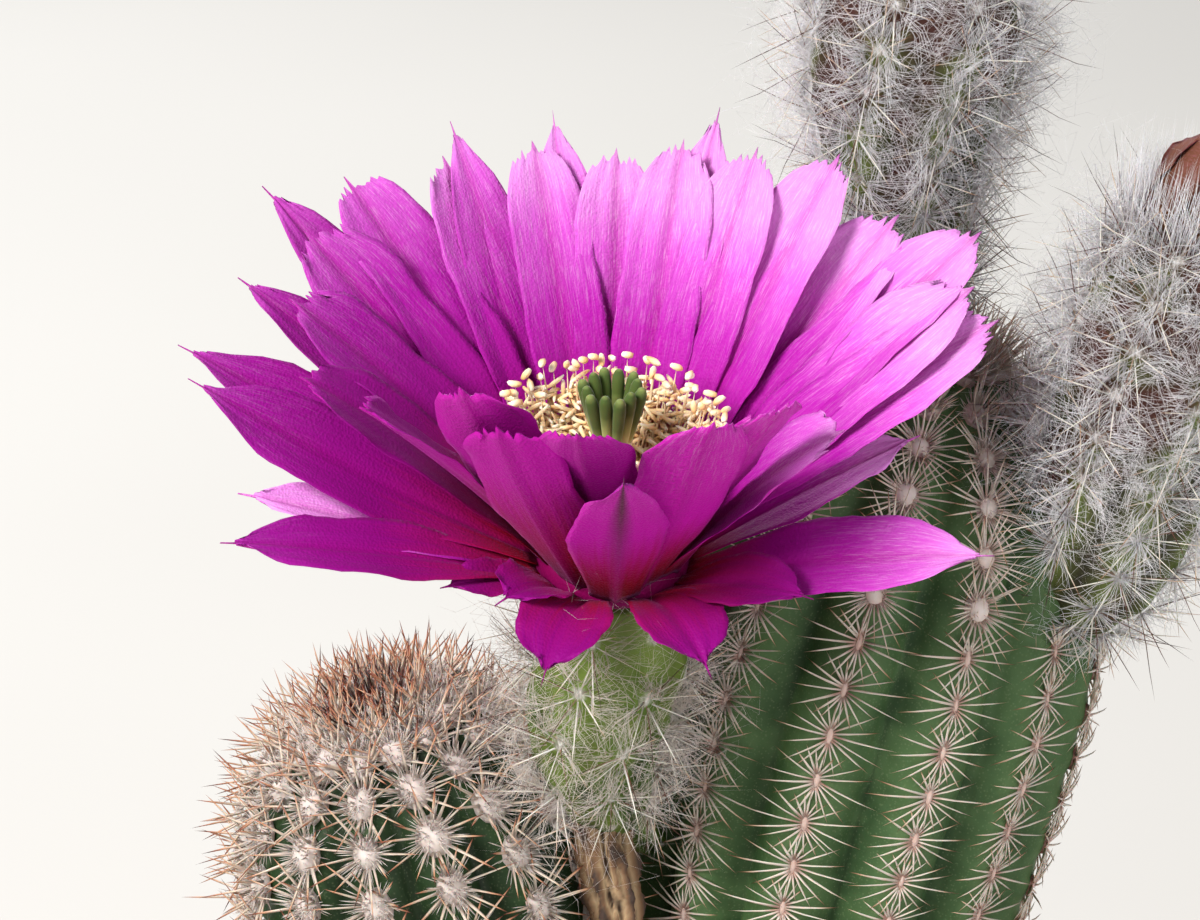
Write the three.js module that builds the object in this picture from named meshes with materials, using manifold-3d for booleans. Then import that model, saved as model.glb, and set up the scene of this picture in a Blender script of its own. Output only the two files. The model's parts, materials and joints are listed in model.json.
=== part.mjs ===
// Hedgehog cactus in flower, standing in a plain clay pot of gritty soil.
// Millimetres, +Z up. The origin is the centre of the pot's flat underside, and the plant faces -Y.
import * as THREE from 'three';
import { mergeVertices } from 'three/addons/utils/BufferGeometryUtils.js';
import Module from 'manifold-3d';

const wasm = await Module();
wasm.setup();

// ---------------------------------------------------------------------------
// Driving dimensions
// ---------------------------------------------------------------------------
const SEAT_GAP = 0.3; // clearance between pieces that touch

const POT = {
  height: 92,
  footRadius: 38,
  rimRadius: 56,
  bandDrop: 20, // height of the thick band below the rim
  bandStep: 3, // how far the band stands out of the wall
  wall: 5.5,
  floor: 6,
  drainHoles: 5,
  drainHoleRadius: 1.9,
  drainCircleRadius: 24,
  sides: 36,
};

const SOIL = {
  level: 86, // height of the surface above the pot's underside
  grit: 2.2, // height of the surface's bumps
  rings: 5,
  sides: 30,
};

// A grown body follows a path of points, and its profile gives [radius, share of the path's length].
const MAIN_STEM = {
  path: [[18.5, 6, 76], [22.8, 8, 128], [34.8, 9, 179.5]], // foot, bend and crown
  profile: [[12, 0], [16.5, 0.09], [19, 0.23], [22, 0.4], [24, 0.57], [24.3, 0.7], [21.5, 0.84], [15, 0.935],
    [8, 0.98], [3, 1]],
  rows: 11, // of spine cushions up each rib
  spineLength: 6,
  lowestSpine: 20, // degrees that the flattest spine stands off the skin
  crownSpine: 6.5,
  firstRib: -58, // turn of one rib at the foot, in degrees from +X
  twist: 19, // degrees that the ribs wind from foot to crown
  seed: 11,
};

const OFFSET_STEM = {
  path: [[-12.5, -2, 76], [-17.5, -1.5, 116], [-25.2, -4.2, 143.2]],
  profile: [[8, 0], [12, 0.13], [15, 0.36], [17.4, 0.6], [17.4, 0.73], [14.5, 0.88], [9, 0.97], [3, 1]],
  rows: 7,
  spineLength: 6.5,
  lowestSpine: 26,
  crownSpine: 5,
  firstRib: -98,
  seed: 23,
};

const STEM_RIBS = { ribs: 13, ribDepth: 0.13, star: 6 }; // depth as a share of the radius, spines in a star

const FLOWER_TUBE = {
  path: [[5, 1.5, 126.5], [0.8, -7.2, 134], [-1.5, -14, 146], [0.2, -16.6, 157.2], [0.2, -18.05, 165.44]],
  profile: [[3, 0], [3.4, 0.22], [5.8, 0.42], [7.3, 0.62], [7.8, 0.8], [7.3, 0.93], [7.2, 1]],
  rows: 5,
  seed: 61,
};

const CROWN_BUD = {
  path: [[31.5, 14.5, 172], [32.5, 18, 185], [31, 18.5, 200], [32, 18.5, 212], [33, 18.5, 223]],
  profile: [[3.8, 0], [4.8, 0.2], [6.8, 0.4], [9.8, 0.6], [10.8, 0.78], [8.2, 0.95], [6.6, 1]],
  rows: 6,
  seed: 67,
};

const SIDE_BUD = {
  path: [[47.5, -1, 154], [51.5, -3.8, 162], [54.3, -6, 177], [57, -6.5, 191], [58.5, -6.5, 199]],
  profile: [[4.4, 0], [7.2, 0.18], [8.8, 0.4], [9.6, 0.65], [8.8, 0.83], [6.6, 0.97], [5.6, 1]],
  rows: 5,
  seed: 71,
};

// A floral tube's cushions wind round it, and its spines lean towards the tip.
const TUBE_RIBS = {
  ribs: 7,
  ribDepth: 0.05,
  star: 5,
  spineLength: 5.5,
  lowestSpine: 30,
  lean: 0.2,
  twist: 52, // degrees from foot to tip
};

const BUD_TEPALS = { height: 10, turns: 16, levels: 5, scaleLift: 1.1, inset: 0.5 };

const FLOWER = {
  foot: [0.2, -18.5, 168], // centre of the ring from which the tepals grow
  nod: 10, // degrees by which the flower nods towards -Y
  ringRadius: 6.5,
  floorHeight: 0.2, // of the cup inside the ring
  whorlStep: 1.2, // radial step between neighbouring inner tepals, which overlap like shingles
  bladeThickness: 0.7,
};

// Each tepal: [turn round the flower, rise above its base plane, length, greatest width, curl].
// Turn 0 is +X and 90 is the back. Curl is how many degrees the blade bends outwards from base to tip.
const INNER_TEPALS = [
  [260, 58, 34, 9.6, 14], [295, 58, 34, 10.5, 12], [311, 57, 34, 10.5, 14], [330, 51, 28, 10, 16],
  [10, 35, 39, 10, 10], [15, 40, 38, 10, 10], [22, 40, 43, 9.5, 8], [34, 45, 38, 9.5, 10],
  [46, 50, 41, 9, 8], [60, 55, 38, 8.5, 8], [75, 55, 38, 8.5, 6], [89, 55, 36, 8.5, 6],
  [106, 53, 38, 8.5, 8], [122, 50, 38, 9.5, 10], [139, 45, 41, 10, 12], [152, 45, 38, 10.5, 12],
  [170, 45, 36, 10, 14], [188, 45, 32, 9.5, 16], [208, 50, 32, 9, 16], [226, 60, 34, 9.5, 10],
  [243, 58, 32, 10.5, 12],
];
const OUTER_TEPALS = [
  [70, 55, 41, 8, 8], [101, 55, 40, 8, 6], [119, 52, 41, 8, 8], [132, 45, 34, 8, 14],
  [146, 40, 44, 8.5, 8], [157, 35, 39, 8, 12], [166, 27, 40, 9, 6], [179, 31, 38, 9.5, -8],
  [187, 21, 30, 8, 4], [199, 19, 33, 7.6, 8], [274, 60, 28, 10.5, 6], [339, 18, 32, 8.8, 10],
  [322, 20, 17, 7, 26], [8, 28, 25, 7.5, 6], [251, 0, 13, 9.2, 66], [297, 0, 13, 9, 64],
  [228, 24, 9, 8, 50], [208, 15, 11, 5, 20], [46, 34, 31, 8, 14], [88, 34, 31, 8, 12],
  [120, 24, 27, 7.5, 22], [66, 16, 22, 7, 30],
];

const PISTIL = { styleRadius: 1.25, styleHeight: 15.4, lobes: 12, lobeLength: 7, lobeRadius: 0.75 };

const STAMENS = { count: 34, bowlRadius: 10.6, bowlHeight: 14.2, antherRadius: 0.75, antherLength: 5.1 };

const DRIED_FLOWER = {
  path: [[-1, -7.6, 136.5], [-0.6, -10.2, 131], [0.6, -11, 124], [1.3, -10.8, 117], [1.2, -10, 111]],
  profile: [[2.2, 0], [3.2, 0.12], [3.1, 0.45], [2.4, 0.7], [1, 1]],
  rows: 7,
  folds: 6,
  foldDepth: 0.26,
};

// ---------------------------------------------------------------------------
// Helpers: angles, a seeded random draw, surfaces and solids
// ---------------------------------------------------------------------------
const DEG = Math.PI / 180;
const TURN = 2 * Math.PI;

function seededDraw(seed) {
  let state = seed >>> 0;
  return () => {
    state = (state * 1664525 + 1013904223) >>> 0;
    return state / 4294967296;
  };
}

// A point moved by a list of [direction, distance] steps.
function moved(point, ...steps) {
  return steps.reduce((p, [direction, distance]) => p.addScaledVector(direction, distance), point.clone());
}

// Points and outward triangles, collected into one closed geometry.
class Surface {
  constructor() {
    this.points = [];
    this.faces = [];
  }
  add(point) {
    this.points.push(point.x, point.y, point.z);
    return this.points.length / 3 - 1;
  }
  at(index) {
    return new THREE.Vector3().fromArray(this.points, index * 3);
  }
  face(a, b, c) {
    this.faces.push(a, b, c);
  }
  quad(a, b, c, d) {
    this.face(a, b, c);
    this.face(a, c, d);
  }
  // Closed rings of points, one above another, with a point below the first and one above the last.
  stack(rings, below, above) {
    const count = rings[0].length;
    for (let k = 0; k < count; k++) {
      const n = (k + 1) % count;
      this.face(below, rings[0][n], rings[0][k]);
      for (let r = 0; r + 1 < rings.length; r++) {
        this.quad(rings[r][k], rings[r][n], rings[r + 1][n], rings[r + 1][k]);
      }
      this.face(rings.at(-1)[k], rings.at(-1)[n], above);
    }
  }
  geometry() {
    const g = new THREE.BufferGeometry();
    g.setAttribute('position', new THREE.Float32BufferAttribute(this.points, 3));
    g.setIndex(this.faces);
    return g;
  }
}

// A body of revolution round +Z from [radius, height] points.
function turned(outline, sides) {
  return new THREE.LatheGeometry(outline.map((p) => new THREE.Vector2(...p)), sides).rotateX(TURN / 4);
}

function solidFrom(geometry) {
  const bare = geometry.clone();
  bare.deleteAttribute('normal');
  bare.deleteAttribute('uv');
  const merged = mergeVertices(bare, 1e-4);
  return new wasm.Manifold(
    new wasm.Mesh({
      numProp: 3,
      vertProperties: merged.attributes.position.array,
      triVerts: new Uint32Array(merged.index.array),
    }),
  );
}

function geometryFrom(solid) {
  const mesh = solid.getMesh();
  const positions = new Float32Array(mesh.numVert * 3);
  for (let i = 0; i < mesh.numVert; i++) {
    positions.set(mesh.vertProperties.subarray(i * mesh.numProp, i * mesh.numProp + 3), i * 3);
  }
  const g = new THREE.BufferGeometry();
  g.setAttribute('position', new THREE.BufferAttribute(positions, 3));
  g.setIndex(new THREE.BufferAttribute(new Uint32Array(mesh.triVerts), 1));
  return g;
}

function joined(solids) {
  return solids.reduce((all, one) => all.add(one));
}

// The largest piece of a cut solid, without the scraps that the cut leaves behind.
function largestPiece(solid) {
  return geometryFrom(solid.decompose().sort((a, b) => b.volume() - a.volume())[0]);
}

// ---------------------------------------------------------------------------
// Bodies grown along a path: a point on one is given by turn, radius and height
// ---------------------------------------------------------------------------
class GrownBody {
  constructor({ path, profile }) {
    const points = path.map((p) => new THREE.Vector3(...p));
    this.axis = points.length === 3
      ? new THREE.QuadraticBezierCurve3(...points)
      : new THREE.CatmullRomCurve3(points);
    this.length = this.axis.getLength();
    const outline = profile.map(([radius, share]) => new THREE.Vector2(radius, share * this.length));
    this.profile = new THREE.SplineCurve(outline);
    this.sections = [];
    const sections = 40;
    for (let i = 0; i <= sections; i++) {
      const { radius, height } = this.at(i / sections);
      this.sections.push({ radius, ...this.frame(height) });
    }
  }
  // Radius and height at a share of the profile's own length.
  at(share) {
    const { x: radius, y: height } = this.profile.getPointAt(share);
    return { radius, height };
  }
  frame(height) {
    const share = THREE.MathUtils.clamp(height / this.length, 0, 1);
    const up = this.axis.getTangentAt(share);
    const centre = moved(this.axis.getPointAt(share), [up, height - share * this.length]);
    const right = moved(new THREE.Vector3(1, 0, 0), [up, -up.x]).normalize();
    const back = up.clone().cross(right);
    return { up, centre, right, back };
  }
  outward(turn, { right, back }) {
    return moved(new THREE.Vector3(), [right, Math.cos(turn)], [back, Math.sin(turn)]);
  }
  point(turn, radius, height) {
    const frame = this.frame(height);
    return moved(frame.centre, [this.outward(turn, frame), radius]);
  }
  // Distance from a point to this body's skin, with its ribs taken at full radius.
  distanceTo(point) {
    return Math.min(...this.sections.map(({ radius, centre, up }) => {
      const offset = point.clone().sub(centre);
      const along = offset.dot(up);
      const away = Math.sqrt(Math.max(0, offset.lengthSq() - along * along));
      return Math.hypot(along, Math.max(0, away - radius));
    }));
  }
}

// ---------------------------------------------------------------------------
// Ribbed bodies with a cushion and a star of spines in each cell of their skin
// ---------------------------------------------------------------------------
const CREST_SINK = 0.03; // how far a crest dips between cushions, as a share of the radius
const CUSHION = { radius: 1.25, rise: 0.8, lift: 0.3, share: 0.24, oval: 1.2 };
const SPINE = { lengthVariation: 0.2, shorterAlong: 0.25, roomShare: 0.46 };

function crestTurn({ firstRib = 0, twist = 0, ribs }, rib, share) {
  return (firstRib + twist * share) * DEG + (TURN * rib) / ribs;
}

// Corners of the cells at each row's edge: a crest and a valley for each rib.
function cellEdges(surface, body, plan) {
  const { rows, ribs, ribDepth } = plan;
  const edges = [];
  for (let row = 0; row <= rows; row++) {
    const { radius, height } = body.at(row / rows);
    const loop = [];
    for (let k = 0; k < 2 * ribs; k++) {
      const depth = k % 2 ? ribDepth : CREST_SINK;
      const turn = crestTurn(plan, k / 2, row / rows);
      loop.push(surface.add(body.point(turn, radius * (1 - depth), height)));
    }
    edges.push(loop);
  }
  return edges;
}

// Joins an outer loop of corners to an inner ring, both given by angle round the same centre.
function bridge(surface, outer, inner) {
  const byAngle = (a, b) => a.angle - b.angle;
  outer.sort(byAngle);
  inner.sort(byAngle);
  const angleOf = (ring, i) => ring[i % ring.length].angle + (i >= ring.length ? TURN : 0);
  let i = 0;
  let j = 0;
  while (i < outer.length || j < inner.length) {
    const o = outer[i % outer.length].index;
    const n = inner[j % inner.length].index;
    const outerIsNext = angleOf(outer, i + 1) <= angleOf(inner, j + 1);
    if (i < outer.length && (j >= inner.length || outerIsNext)) {
      i += 1;
      surface.face(o, outer[i % outer.length].index, n);
    } else {
      j += 1;
      surface.face(o, inner[j % inner.length].index, n);
    }
  }
}

// The cushion's place and directions in one cell: normal to the skin, rise along the rib, side across it.
function cushionFrame(body, plan, row, rib) {
  const share = (row + 0.5) / plan.rows;
  const { radius, height } = body.at(share);
  const slope = body.profile.getTangentAt(share);
  const frame = body.frame(height);
  const out = body.outward(crestTurn(plan, rib, share), frame);
  const normal = moved(new THREE.Vector3(), [out, slope.y], [frame.up, -slope.x]);
  const rise = moved(new THREE.Vector3(), [out, slope.x], [frame.up, slope.y]);
  const side = rise.clone().cross(normal);
  const seat = moved(frame.centre, [out, radius], [normal, CUSHION.lift]);
  const cellWidth = (TURN * radius) / plan.ribs;
  const low = body.at(row / plan.rows);
  const high = body.at((row + 1) / plan.rows);
  const cellHeight = Math.hypot(high.radius - low.radius, high.height - low.height);
  const size = Math.min(CUSHION.radius, CUSHION.share * cellWidth, CUSHION.share * cellHeight);
  return { normal, rise, side, seat, radius, cellWidth, cellHeight, size };
}

// A spine's tip. A spine stays inside its own cell, and stands up where the cell is small.
function spineTip(plan, cushion, angle, draw) {
  const { normal, rise, side, seat, radius, cellWidth, cellHeight, size } = cushion;
  const variation = 1 + SPINE.lengthVariation * (draw() - 0.5);
  const reach = plan.spineLength * variation * (1 - SPINE.shorterAlong * Math.abs(Math.sin(angle)));
  const halfCell = SPINE.roomShare * Math.hypot(cellWidth * Math.cos(angle), cellHeight * Math.sin(angle));
  const room = halfCell * (1 + (0.5 * reach) / radius);
  const elevation = Math.max(plan.lowestSpine * DEG, Math.acos(Math.min(1, room / reach)));
  const flat = reach * Math.cos(elevation);
  return moved(
    seat,
    [side, flat * Math.cos(angle)],
    [rise, flat * Math.sin(angle) + (plan.lean ?? 0) * reach],
    [normal, reach * Math.sin(elevation) + CUSHION.rise * size],
  );
}

function addCell(surface, body, plan, edges, row, rib, draw) {
  const cushion = cushionFrame(body, plan, row, rib);
  const { normal, rise, side, seat, size } = cushion;
  const here = 2 * rib;
  const before = (here + 2 * plan.ribs - 1) % (2 * plan.ribs);
  const corners = [edges[row], edges[row + 1]].flatMap((loop) => [loop[before], loop[here], loop[here + 1]]);
  const outline = corners.map((index) => {
    const offset = surface.at(index).sub(seat);
    return { index, angle: Math.atan2(offset.dot(rise), offset.dot(side)) };
  });
  const middle = surface.add(moved(seat, [normal, CUSHION.rise * size]));
  if (plan.keepOut(seat)) {
    outline.sort((a, b) => a.angle - b.angle);
    outline.forEach((c, i) => surface.face(c.index, outline[(i + 1) % outline.length].index, middle));
    return;
  }
  const ring = [];
  for (let i = 0; i < plan.star; i++) {
    const a = (TURN * (i + 0.5)) / plan.star;
    const corner = moved(seat, [side, size * Math.cos(a)], [rise, CUSHION.oval * size * Math.sin(a)]);
    ring.push({ index: surface.add(corner), angle: Math.atan2(CUSHION.oval * Math.sin(a), Math.cos(a)) });
  }
  bridge(surface, outline, [...ring]);
  ring.forEach((corner, i) => {
    const following = ring[(i + 1) % plan.star];
    const tip = spineTip(plan, cushion, (TURN * (i + 1)) / plan.star, draw);
    if (plan.keepOut(tip)) {
      surface.face(middle, corner.index, following.index);
      return;
    }
    const point = surface.add(tip);
    surface.face(middle, corner.index, point);
    surface.face(corner.index, following.index, point);
    surface.face(following.index, middle, point);
  });
}

// The foot is closed flat. The crown is a fan, and spines are drawn out of every other triangle of it.
function closeEnds(surface, body, plan, edges) {
  const { ribs, rows, crownSpine = 0, keepOut } = plan;
  const hollow = crownSpine ? 0.6 : 0;
  const end = body.at(1);
  const frame = body.frame(end.height);
  const foot = surface.add(body.frame(0).centre);
  const top = surface.add(moved(frame.centre, [frame.up, -hollow]));
  for (let k = 0; k < 2 * ribs; k++) {
    const following = (k + 1) % (2 * ribs);
    const a = edges[rows][k];
    const b = edges[rows][following];
    const out = body.outward(crestTurn(plan, k / 2 + 0.25, 1), frame);
    const tip = moved(frame.centre, [out, end.radius + 0.3 * crownSpine], [frame.up, crownSpine]);
    surface.face(foot, edges[0][following], edges[0][k]);
    if (k % 2 || !crownSpine || keepOut(tip)) {
      surface.face(top, a, b);
    } else {
      const point = surface.add(tip);
      surface.face(top, a, point);
      surface.face(a, b, point);
      surface.face(b, top, point);
    }
  }
}

function spinyBody(plan) {
  const body = new GrownBody(plan);
  const surface = new Surface();
  const draw = seededDraw(plan.seed);
  const edges = cellEdges(surface, body, plan);
  for (let row = 0; row < plan.rows; row++) {
    for (let rib = 0; rib < plan.ribs; rib++) {
      addCell(surface, body, plan, edges, row, rib, draw);
    }
  }
  closeEnds(surface, body, plan, edges);
  return surface.geometry();
}

// The same body without spines and a little larger, as a cutter that leaves a seat with clearance.
function seatCutter(plan) {
  const profile = plan.profile.map(([radius, share]) => [radius + SEAT_GAP, share]);
  return solidFrom(spinyBody({ ...plan, profile, keepOut: () => true, crownSpine: 0 }));
}

// ---------------------------------------------------------------------------
// Stems and the floral tubes that are seated on the main stem
// ---------------------------------------------------------------------------
const MAIN = new GrownBody(MAIN_STEM);
const OFFSET = new GrownBody(OFFSET_STEM);
const TUBE = new GrownBody(FLOWER_TUBE);
const CROWN = new GrownBody(CROWN_BUD);
const SIDE = new GrownBody(SIDE_BUD);
const DRIED = new GrownBody(DRIED_FLOWER);
const LOWEST_SPINES = SOIL.level + 5;

// Spines keep out of the soil and clear of the listed neighbours: [body, clearance].
function clearOf(neighbours) {
  return (p) => p.z < LOWEST_SPINES || neighbours.some(([body, clearance]) => body.distanceTo(p) < clearance);
}

const mainPlan = {
  ...STEM_RIBS,
  ...MAIN_STEM,
  keepOut: clearOf([[OFFSET, 4], [TUBE, 4.5], [CROWN, 4.5], [SIDE, 4.5], [DRIED, 1.5]]),
};

const offsetPlan = {
  ...STEM_RIBS,
  ...OFFSET_STEM,
  keepOut: clearOf([[MAIN, 4], [TUBE, 7], [DRIED, 1.5]]),
};

const mainSeat = seatCutter(mainPlan);
const offsetSeat = seatCutter(offsetPlan);

function makeTube(tube, neighbours, highestSpine = Infinity) {
  const clear = clearOf([[MAIN, 3.5], [OFFSET, 3.5], ...neighbours]);
  const keepOut = (p) => p.z > highestSpine || clear(p);
  const solid = solidFrom(spinyBody({ ...TUBE_RIBS, ...tube, keepOut }));
  return largestPiece(solid.subtract(mainSeat).subtract(offsetSeat));
}

// Closed tepals at the tip of a bud: a blunt cone whose overlapping tips stand out as scales.
function makeBudTepals(bud) {
  const { height, turns, levels, scaleLift, inset } = BUD_TEPALS;
  const body = new GrownBody(bud);
  const base = body.length + SEAT_GAP;
  const baseRadius = body.at(1).radius - inset;
  const surface = new Surface();
  const rings = [];
  for (let level = 0; level < levels; level++) {
    const share = level / levels;
    const ring = [];
    for (let k = 0; k < turns; k++) {
      const isTip = (k + level) % 2 === 1;
      const radius = baseRadius * Math.sqrt(1 - share) * (isTip ? 1 : 0.84);
      const lift = height * share + (isTip && level ? scaleLift : 0);
      ring.push(surface.add(body.point((TURN * k) / turns, radius, base + lift)));
    }
    rings.push(ring);
  }
  surface.stack(rings, surface.add(body.point(0, 0, base)), surface.add(body.point(0, 0, base + height)));
  return surface.geometry();
}

// An old flower, dried to a folded wisp, that hangs between the stems.
function makeDriedFlower() {
  const { rows, folds, foldDepth } = DRIED_FLOWER;
  const surface = new Surface();
  const rings = [];
  for (let row = 0; row <= rows; row++) {
    const { radius, height } = DRIED.at(row / rows);
    const ring = [];
    for (let k = 0; k < 2 * folds; k++) {
      const fold = k % 2 ? 1 - foldDepth : 1;
      ring.push(surface.add(DRIED.point((TURN * (k + 0.25 * row)) / (2 * folds), radius * fold, height)));
    }
    rings.push(ring);
  }
  surface.stack(rings, surface.add(DRIED.point(0, 0, 0)), surface.add(DRIED.point(0, 0, DRIED.length)));
  const seats = joined([mainSeat, offsetSeat, seatCutter({ ...TUBE_RIBS, ...FLOWER_TUBE })]);
  return largestPiece(solidFrom(surface.geometry()).subtract(seats));
}

// ---------------------------------------------------------------------------
// The open flower, in its own frame: +Z is its axis and the origin is its foot
// ---------------------------------------------------------------------------

// Half width of a tepal at a share of its length, as a share of its greatest half width.
function tepalOutline(share) {
  const flare = Math.sin(Math.min(1, share / 0.7) * 90 * DEG) ** 2;
  const tip = Math.cos((Math.max(0, share - 0.75) / 0.25) * 50 * DEG);
  return (0.24 + 0.76 * flare) * tip;
}

// Where a blade's corners lie across it, and how far each stands out at its tip: inner tepals end in blunt
// teeth with a drawn-out point at the midrib, and outer ones in a plain point.
const INNER_END = { across: [-1, -0.5, 0, 0.5, 1], teeth: [-1.6, 0.2, 1.6, 0.2, -1.6] };
const OUTER_END = { across: [-1, 0, 1], teeth: [-2, 1.6, -2] };
const BLADE = { shares: [0, 0.38, 0.78, 1], cupping: 0.14, toothVariation: 0.8, steps: 50 };

// A thin arched blade, cupped towards the flower's middle.
function tepal([turn, rise, length, width, curl], ringRadius, ringLift, { across, teeth }, draw) {
  const { shares, cupping, toothVariation, steps } = BLADE;
  const surface = new Surface();
  const up = new THREE.Vector3(0, 0, 1);
  const out = new THREE.Vector3(Math.cos(turn * DEG), Math.sin(turn * DEG), 0);
  const level = up.clone().cross(out);
  const direction = (share) => {
    const slope = (rise + curl * (0.5 - share)) * DEG;
    return moved(new THREE.Vector3(), [out, Math.cos(slope)], [up, Math.sin(slope)]);
  };

  // The midrib: short straight steps, each in the direction that its share of the length has.
  const midrib = [moved(new THREE.Vector3(), [out, ringRadius], [up, ringLift])];
  for (let i = 0; i < steps; i++) {
    midrib.push(moved(midrib[i], [direction((i + 0.5) / steps), length / steps]));
  }

  // Rows of corners on the face towards the flower's middle and on the outer face.
  const inner = [];
  const outer = [];
  for (const share of shares) {
    const along = direction(share);
    const normal = along.clone().cross(level);
    const half = 0.5 * width * tepalOutline(share);
    const corners = across.map((u, i) => {
      const tooth = share === 1 ? teeth[i] + toothVariation * (draw() - 0.5) : 0;
      const cup = cupping * half * (u * u + 0.4 * Math.abs(u));
      return moved(midrib[Math.round(share * steps)], [level, half * u], [normal, cup], [along, tooth]);
    });
    inner.push(corners.map((p) => surface.add(moved(p, [normal, 0.5 * FLOWER.bladeThickness]))));
    outer.push(corners.map((p) => surface.add(moved(p, [normal, -0.5 * FLOWER.bladeThickness]))));
  }

  const last = across.length - 1;
  const end = shares.length - 1;
  for (let row = 0; row < end; row++) {
    const next = row + 1;
    for (let k = 0; k < last; k++) {
      surface.quad(inner[row][k + 1], inner[row][k], inner[next][k], inner[next][k + 1]);
      surface.quad(outer[row][k + 1], outer[next][k + 1], outer[next][k], outer[row][k]);
    }
    surface.quad(inner[row][0], outer[row][0], outer[next][0], inner[next][0]);
    surface.quad(outer[row][last], inner[row][last], inner[next][last], outer[next][last]);
  }
  for (let k = 0; k < last; k++) {
    surface.quad(inner[end][k], outer[end][k], outer[end][k + 1], inner[end][k + 1]);
    surface.quad(outer[0][k], inner[0][k], inner[0][k + 1], outer[0][k + 1]);
  }
  return solidFrom(surface.geometry());
}

// The receptacle, a short cup with the stamens inside it, and the tepals that grow from its rim.
function makePetals() {
  const { ringRadius, whorlStep, floorHeight } = FLOWER;
  const draw = seededDraw(5);
  const outline = [[0, -2.2], [7.4, -2.2], [8.8, -0.6], [7, 1.7], [5.2, floorHeight], [0, floorHeight]];
  const cup = solidFrom(turned(outline, 16));
  const inner = INNER_TEPALS.map((t, i) =>
    tepal(t, ringRadius + whorlStep * ((i % 2) - 0.5), 0.4, INNER_END, draw));
  const outer = OUTER_TEPALS.map((t) =>
    tepal(t, ringRadius + whorlStep, t[1] > 30 ? -0.3 : -0.9, OUTER_END, draw));
  return largestPiece(joined([cup, ...inner, ...outer]));
}

function makePistil() {
  const { styleRadius, styleHeight, lobes, lobeLength, lobeRadius } = PISTIL;
  const foot = FLOWER.floorHeight + SEAT_GAP;
  const style = turned([[0, foot], [styleRadius, foot], [styleRadius, styleHeight - 3],
    [styleRadius * 1.7, styleHeight], [0, styleHeight]], 8);
  const solids = [solidFrom(style)];
  for (let i = 0; i < lobes; i++) {
    const lobe = new THREE.SphereGeometry(lobeRadius, 5, 4)
      .rotateX(TURN / 4)
      .scale(1, 1, (0.5 * lobeLength) / lobeRadius)
      .translate(0, 0, 0.42 * lobeLength)
      .rotateY((i % 2 ? 17 : 23) * DEG)
      .translate(styleRadius * 0.95, 0, styleHeight - 1.2)
      .rotateZ((TURN * i) / lobes);
    solids.push(solidFrom(lobe));
  }
  return largestPiece(joined(solids));
}

// The stamens: a bowl of packed filaments, with single anthers standing out of its edge.
function makeStamens() {
  const { count, bowlRadius, bowlHeight, antherRadius, antherLength } = STAMENS;
  const hole = PISTIL.styleRadius + 0.5;
  const foot = FLOWER.floorHeight + SEAT_GAP;
  const bowl = turned([[hole, foot], [4.9, foot + 0.3], [bowlRadius * 0.86, bowlHeight * 0.66],
    [bowlRadius, bowlHeight], [bowlRadius * 0.78, bowlHeight + 0.8], [bowlRadius * 0.42, bowlHeight - 2.2],
    [hole, bowlHeight - 4.5], [hole, foot]], 16);
  const draw = seededDraw(31);
  const solids = [solidFrom(bowl)];
  for (let i = 0; i < count; i++) {
    const ring = 0.52 + 0.46 * Math.sqrt((i + 0.5) / count);
    const anther = new THREE.OctahedronGeometry(antherRadius)
      .scale(1, 1.3, (0.5 * antherLength) / antherRadius)
      .rotateY(14 * DEG)
      .translate(bowlRadius * ring, 0, bowlHeight - 0.2 + 3 * draw() * ring)
      .rotateZ(i * 137.5 * DEG);
    solids.push(solidFrom(anther));
  }
  return largestPiece(joined(solids));
}

// ---------------------------------------------------------------------------
// Pot and soil
// ---------------------------------------------------------------------------

// Outer and inner radius of the pot's tapered wall at a height, without the band.
function potWall(height) {
  const outer = THREE.MathUtils.lerp(POT.footRadius, POT.rimRadius - POT.bandStep, height / POT.height);
  return { outer, inner: outer - POT.wall };
}

function makePot() {
  const { height, footRadius, rimRadius, bandDrop, bandStep, floor, sides } = POT;
  const underBand = height - bandDrop;
  const neck = potWall(underBand).outer;
  const mouth = potWall(height).inner;
  const shell = turned([
    [0, 0], [footRadius - 1, 0], [footRadius, 1], [neck, underBand],
    [neck + bandStep, underBand + 1], [rimRadius, height - 1.5], [rimRadius - 1.5, height],
    [mouth + 1.5, height], [mouth, height - 1.5], [potWall(floor).inner, floor], [0, floor],
  ], sides);
  let solid = solidFrom(shell);
  for (let i = 0; i < POT.drainHoles; i++) {
    const drain = new THREE.CylinderGeometry(POT.drainHoleRadius, POT.drainHoleRadius, floor + 4, 10)
      .rotateX(TURN / 4)
      .translate(POT.drainCircleRadius, 0, floor / 2)
      .rotateZ((TURN * i) / POT.drainHoles);
    solid = solid.subtract(solidFrom(drain));
  }
  return geometryFrom(solid);
}

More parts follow.
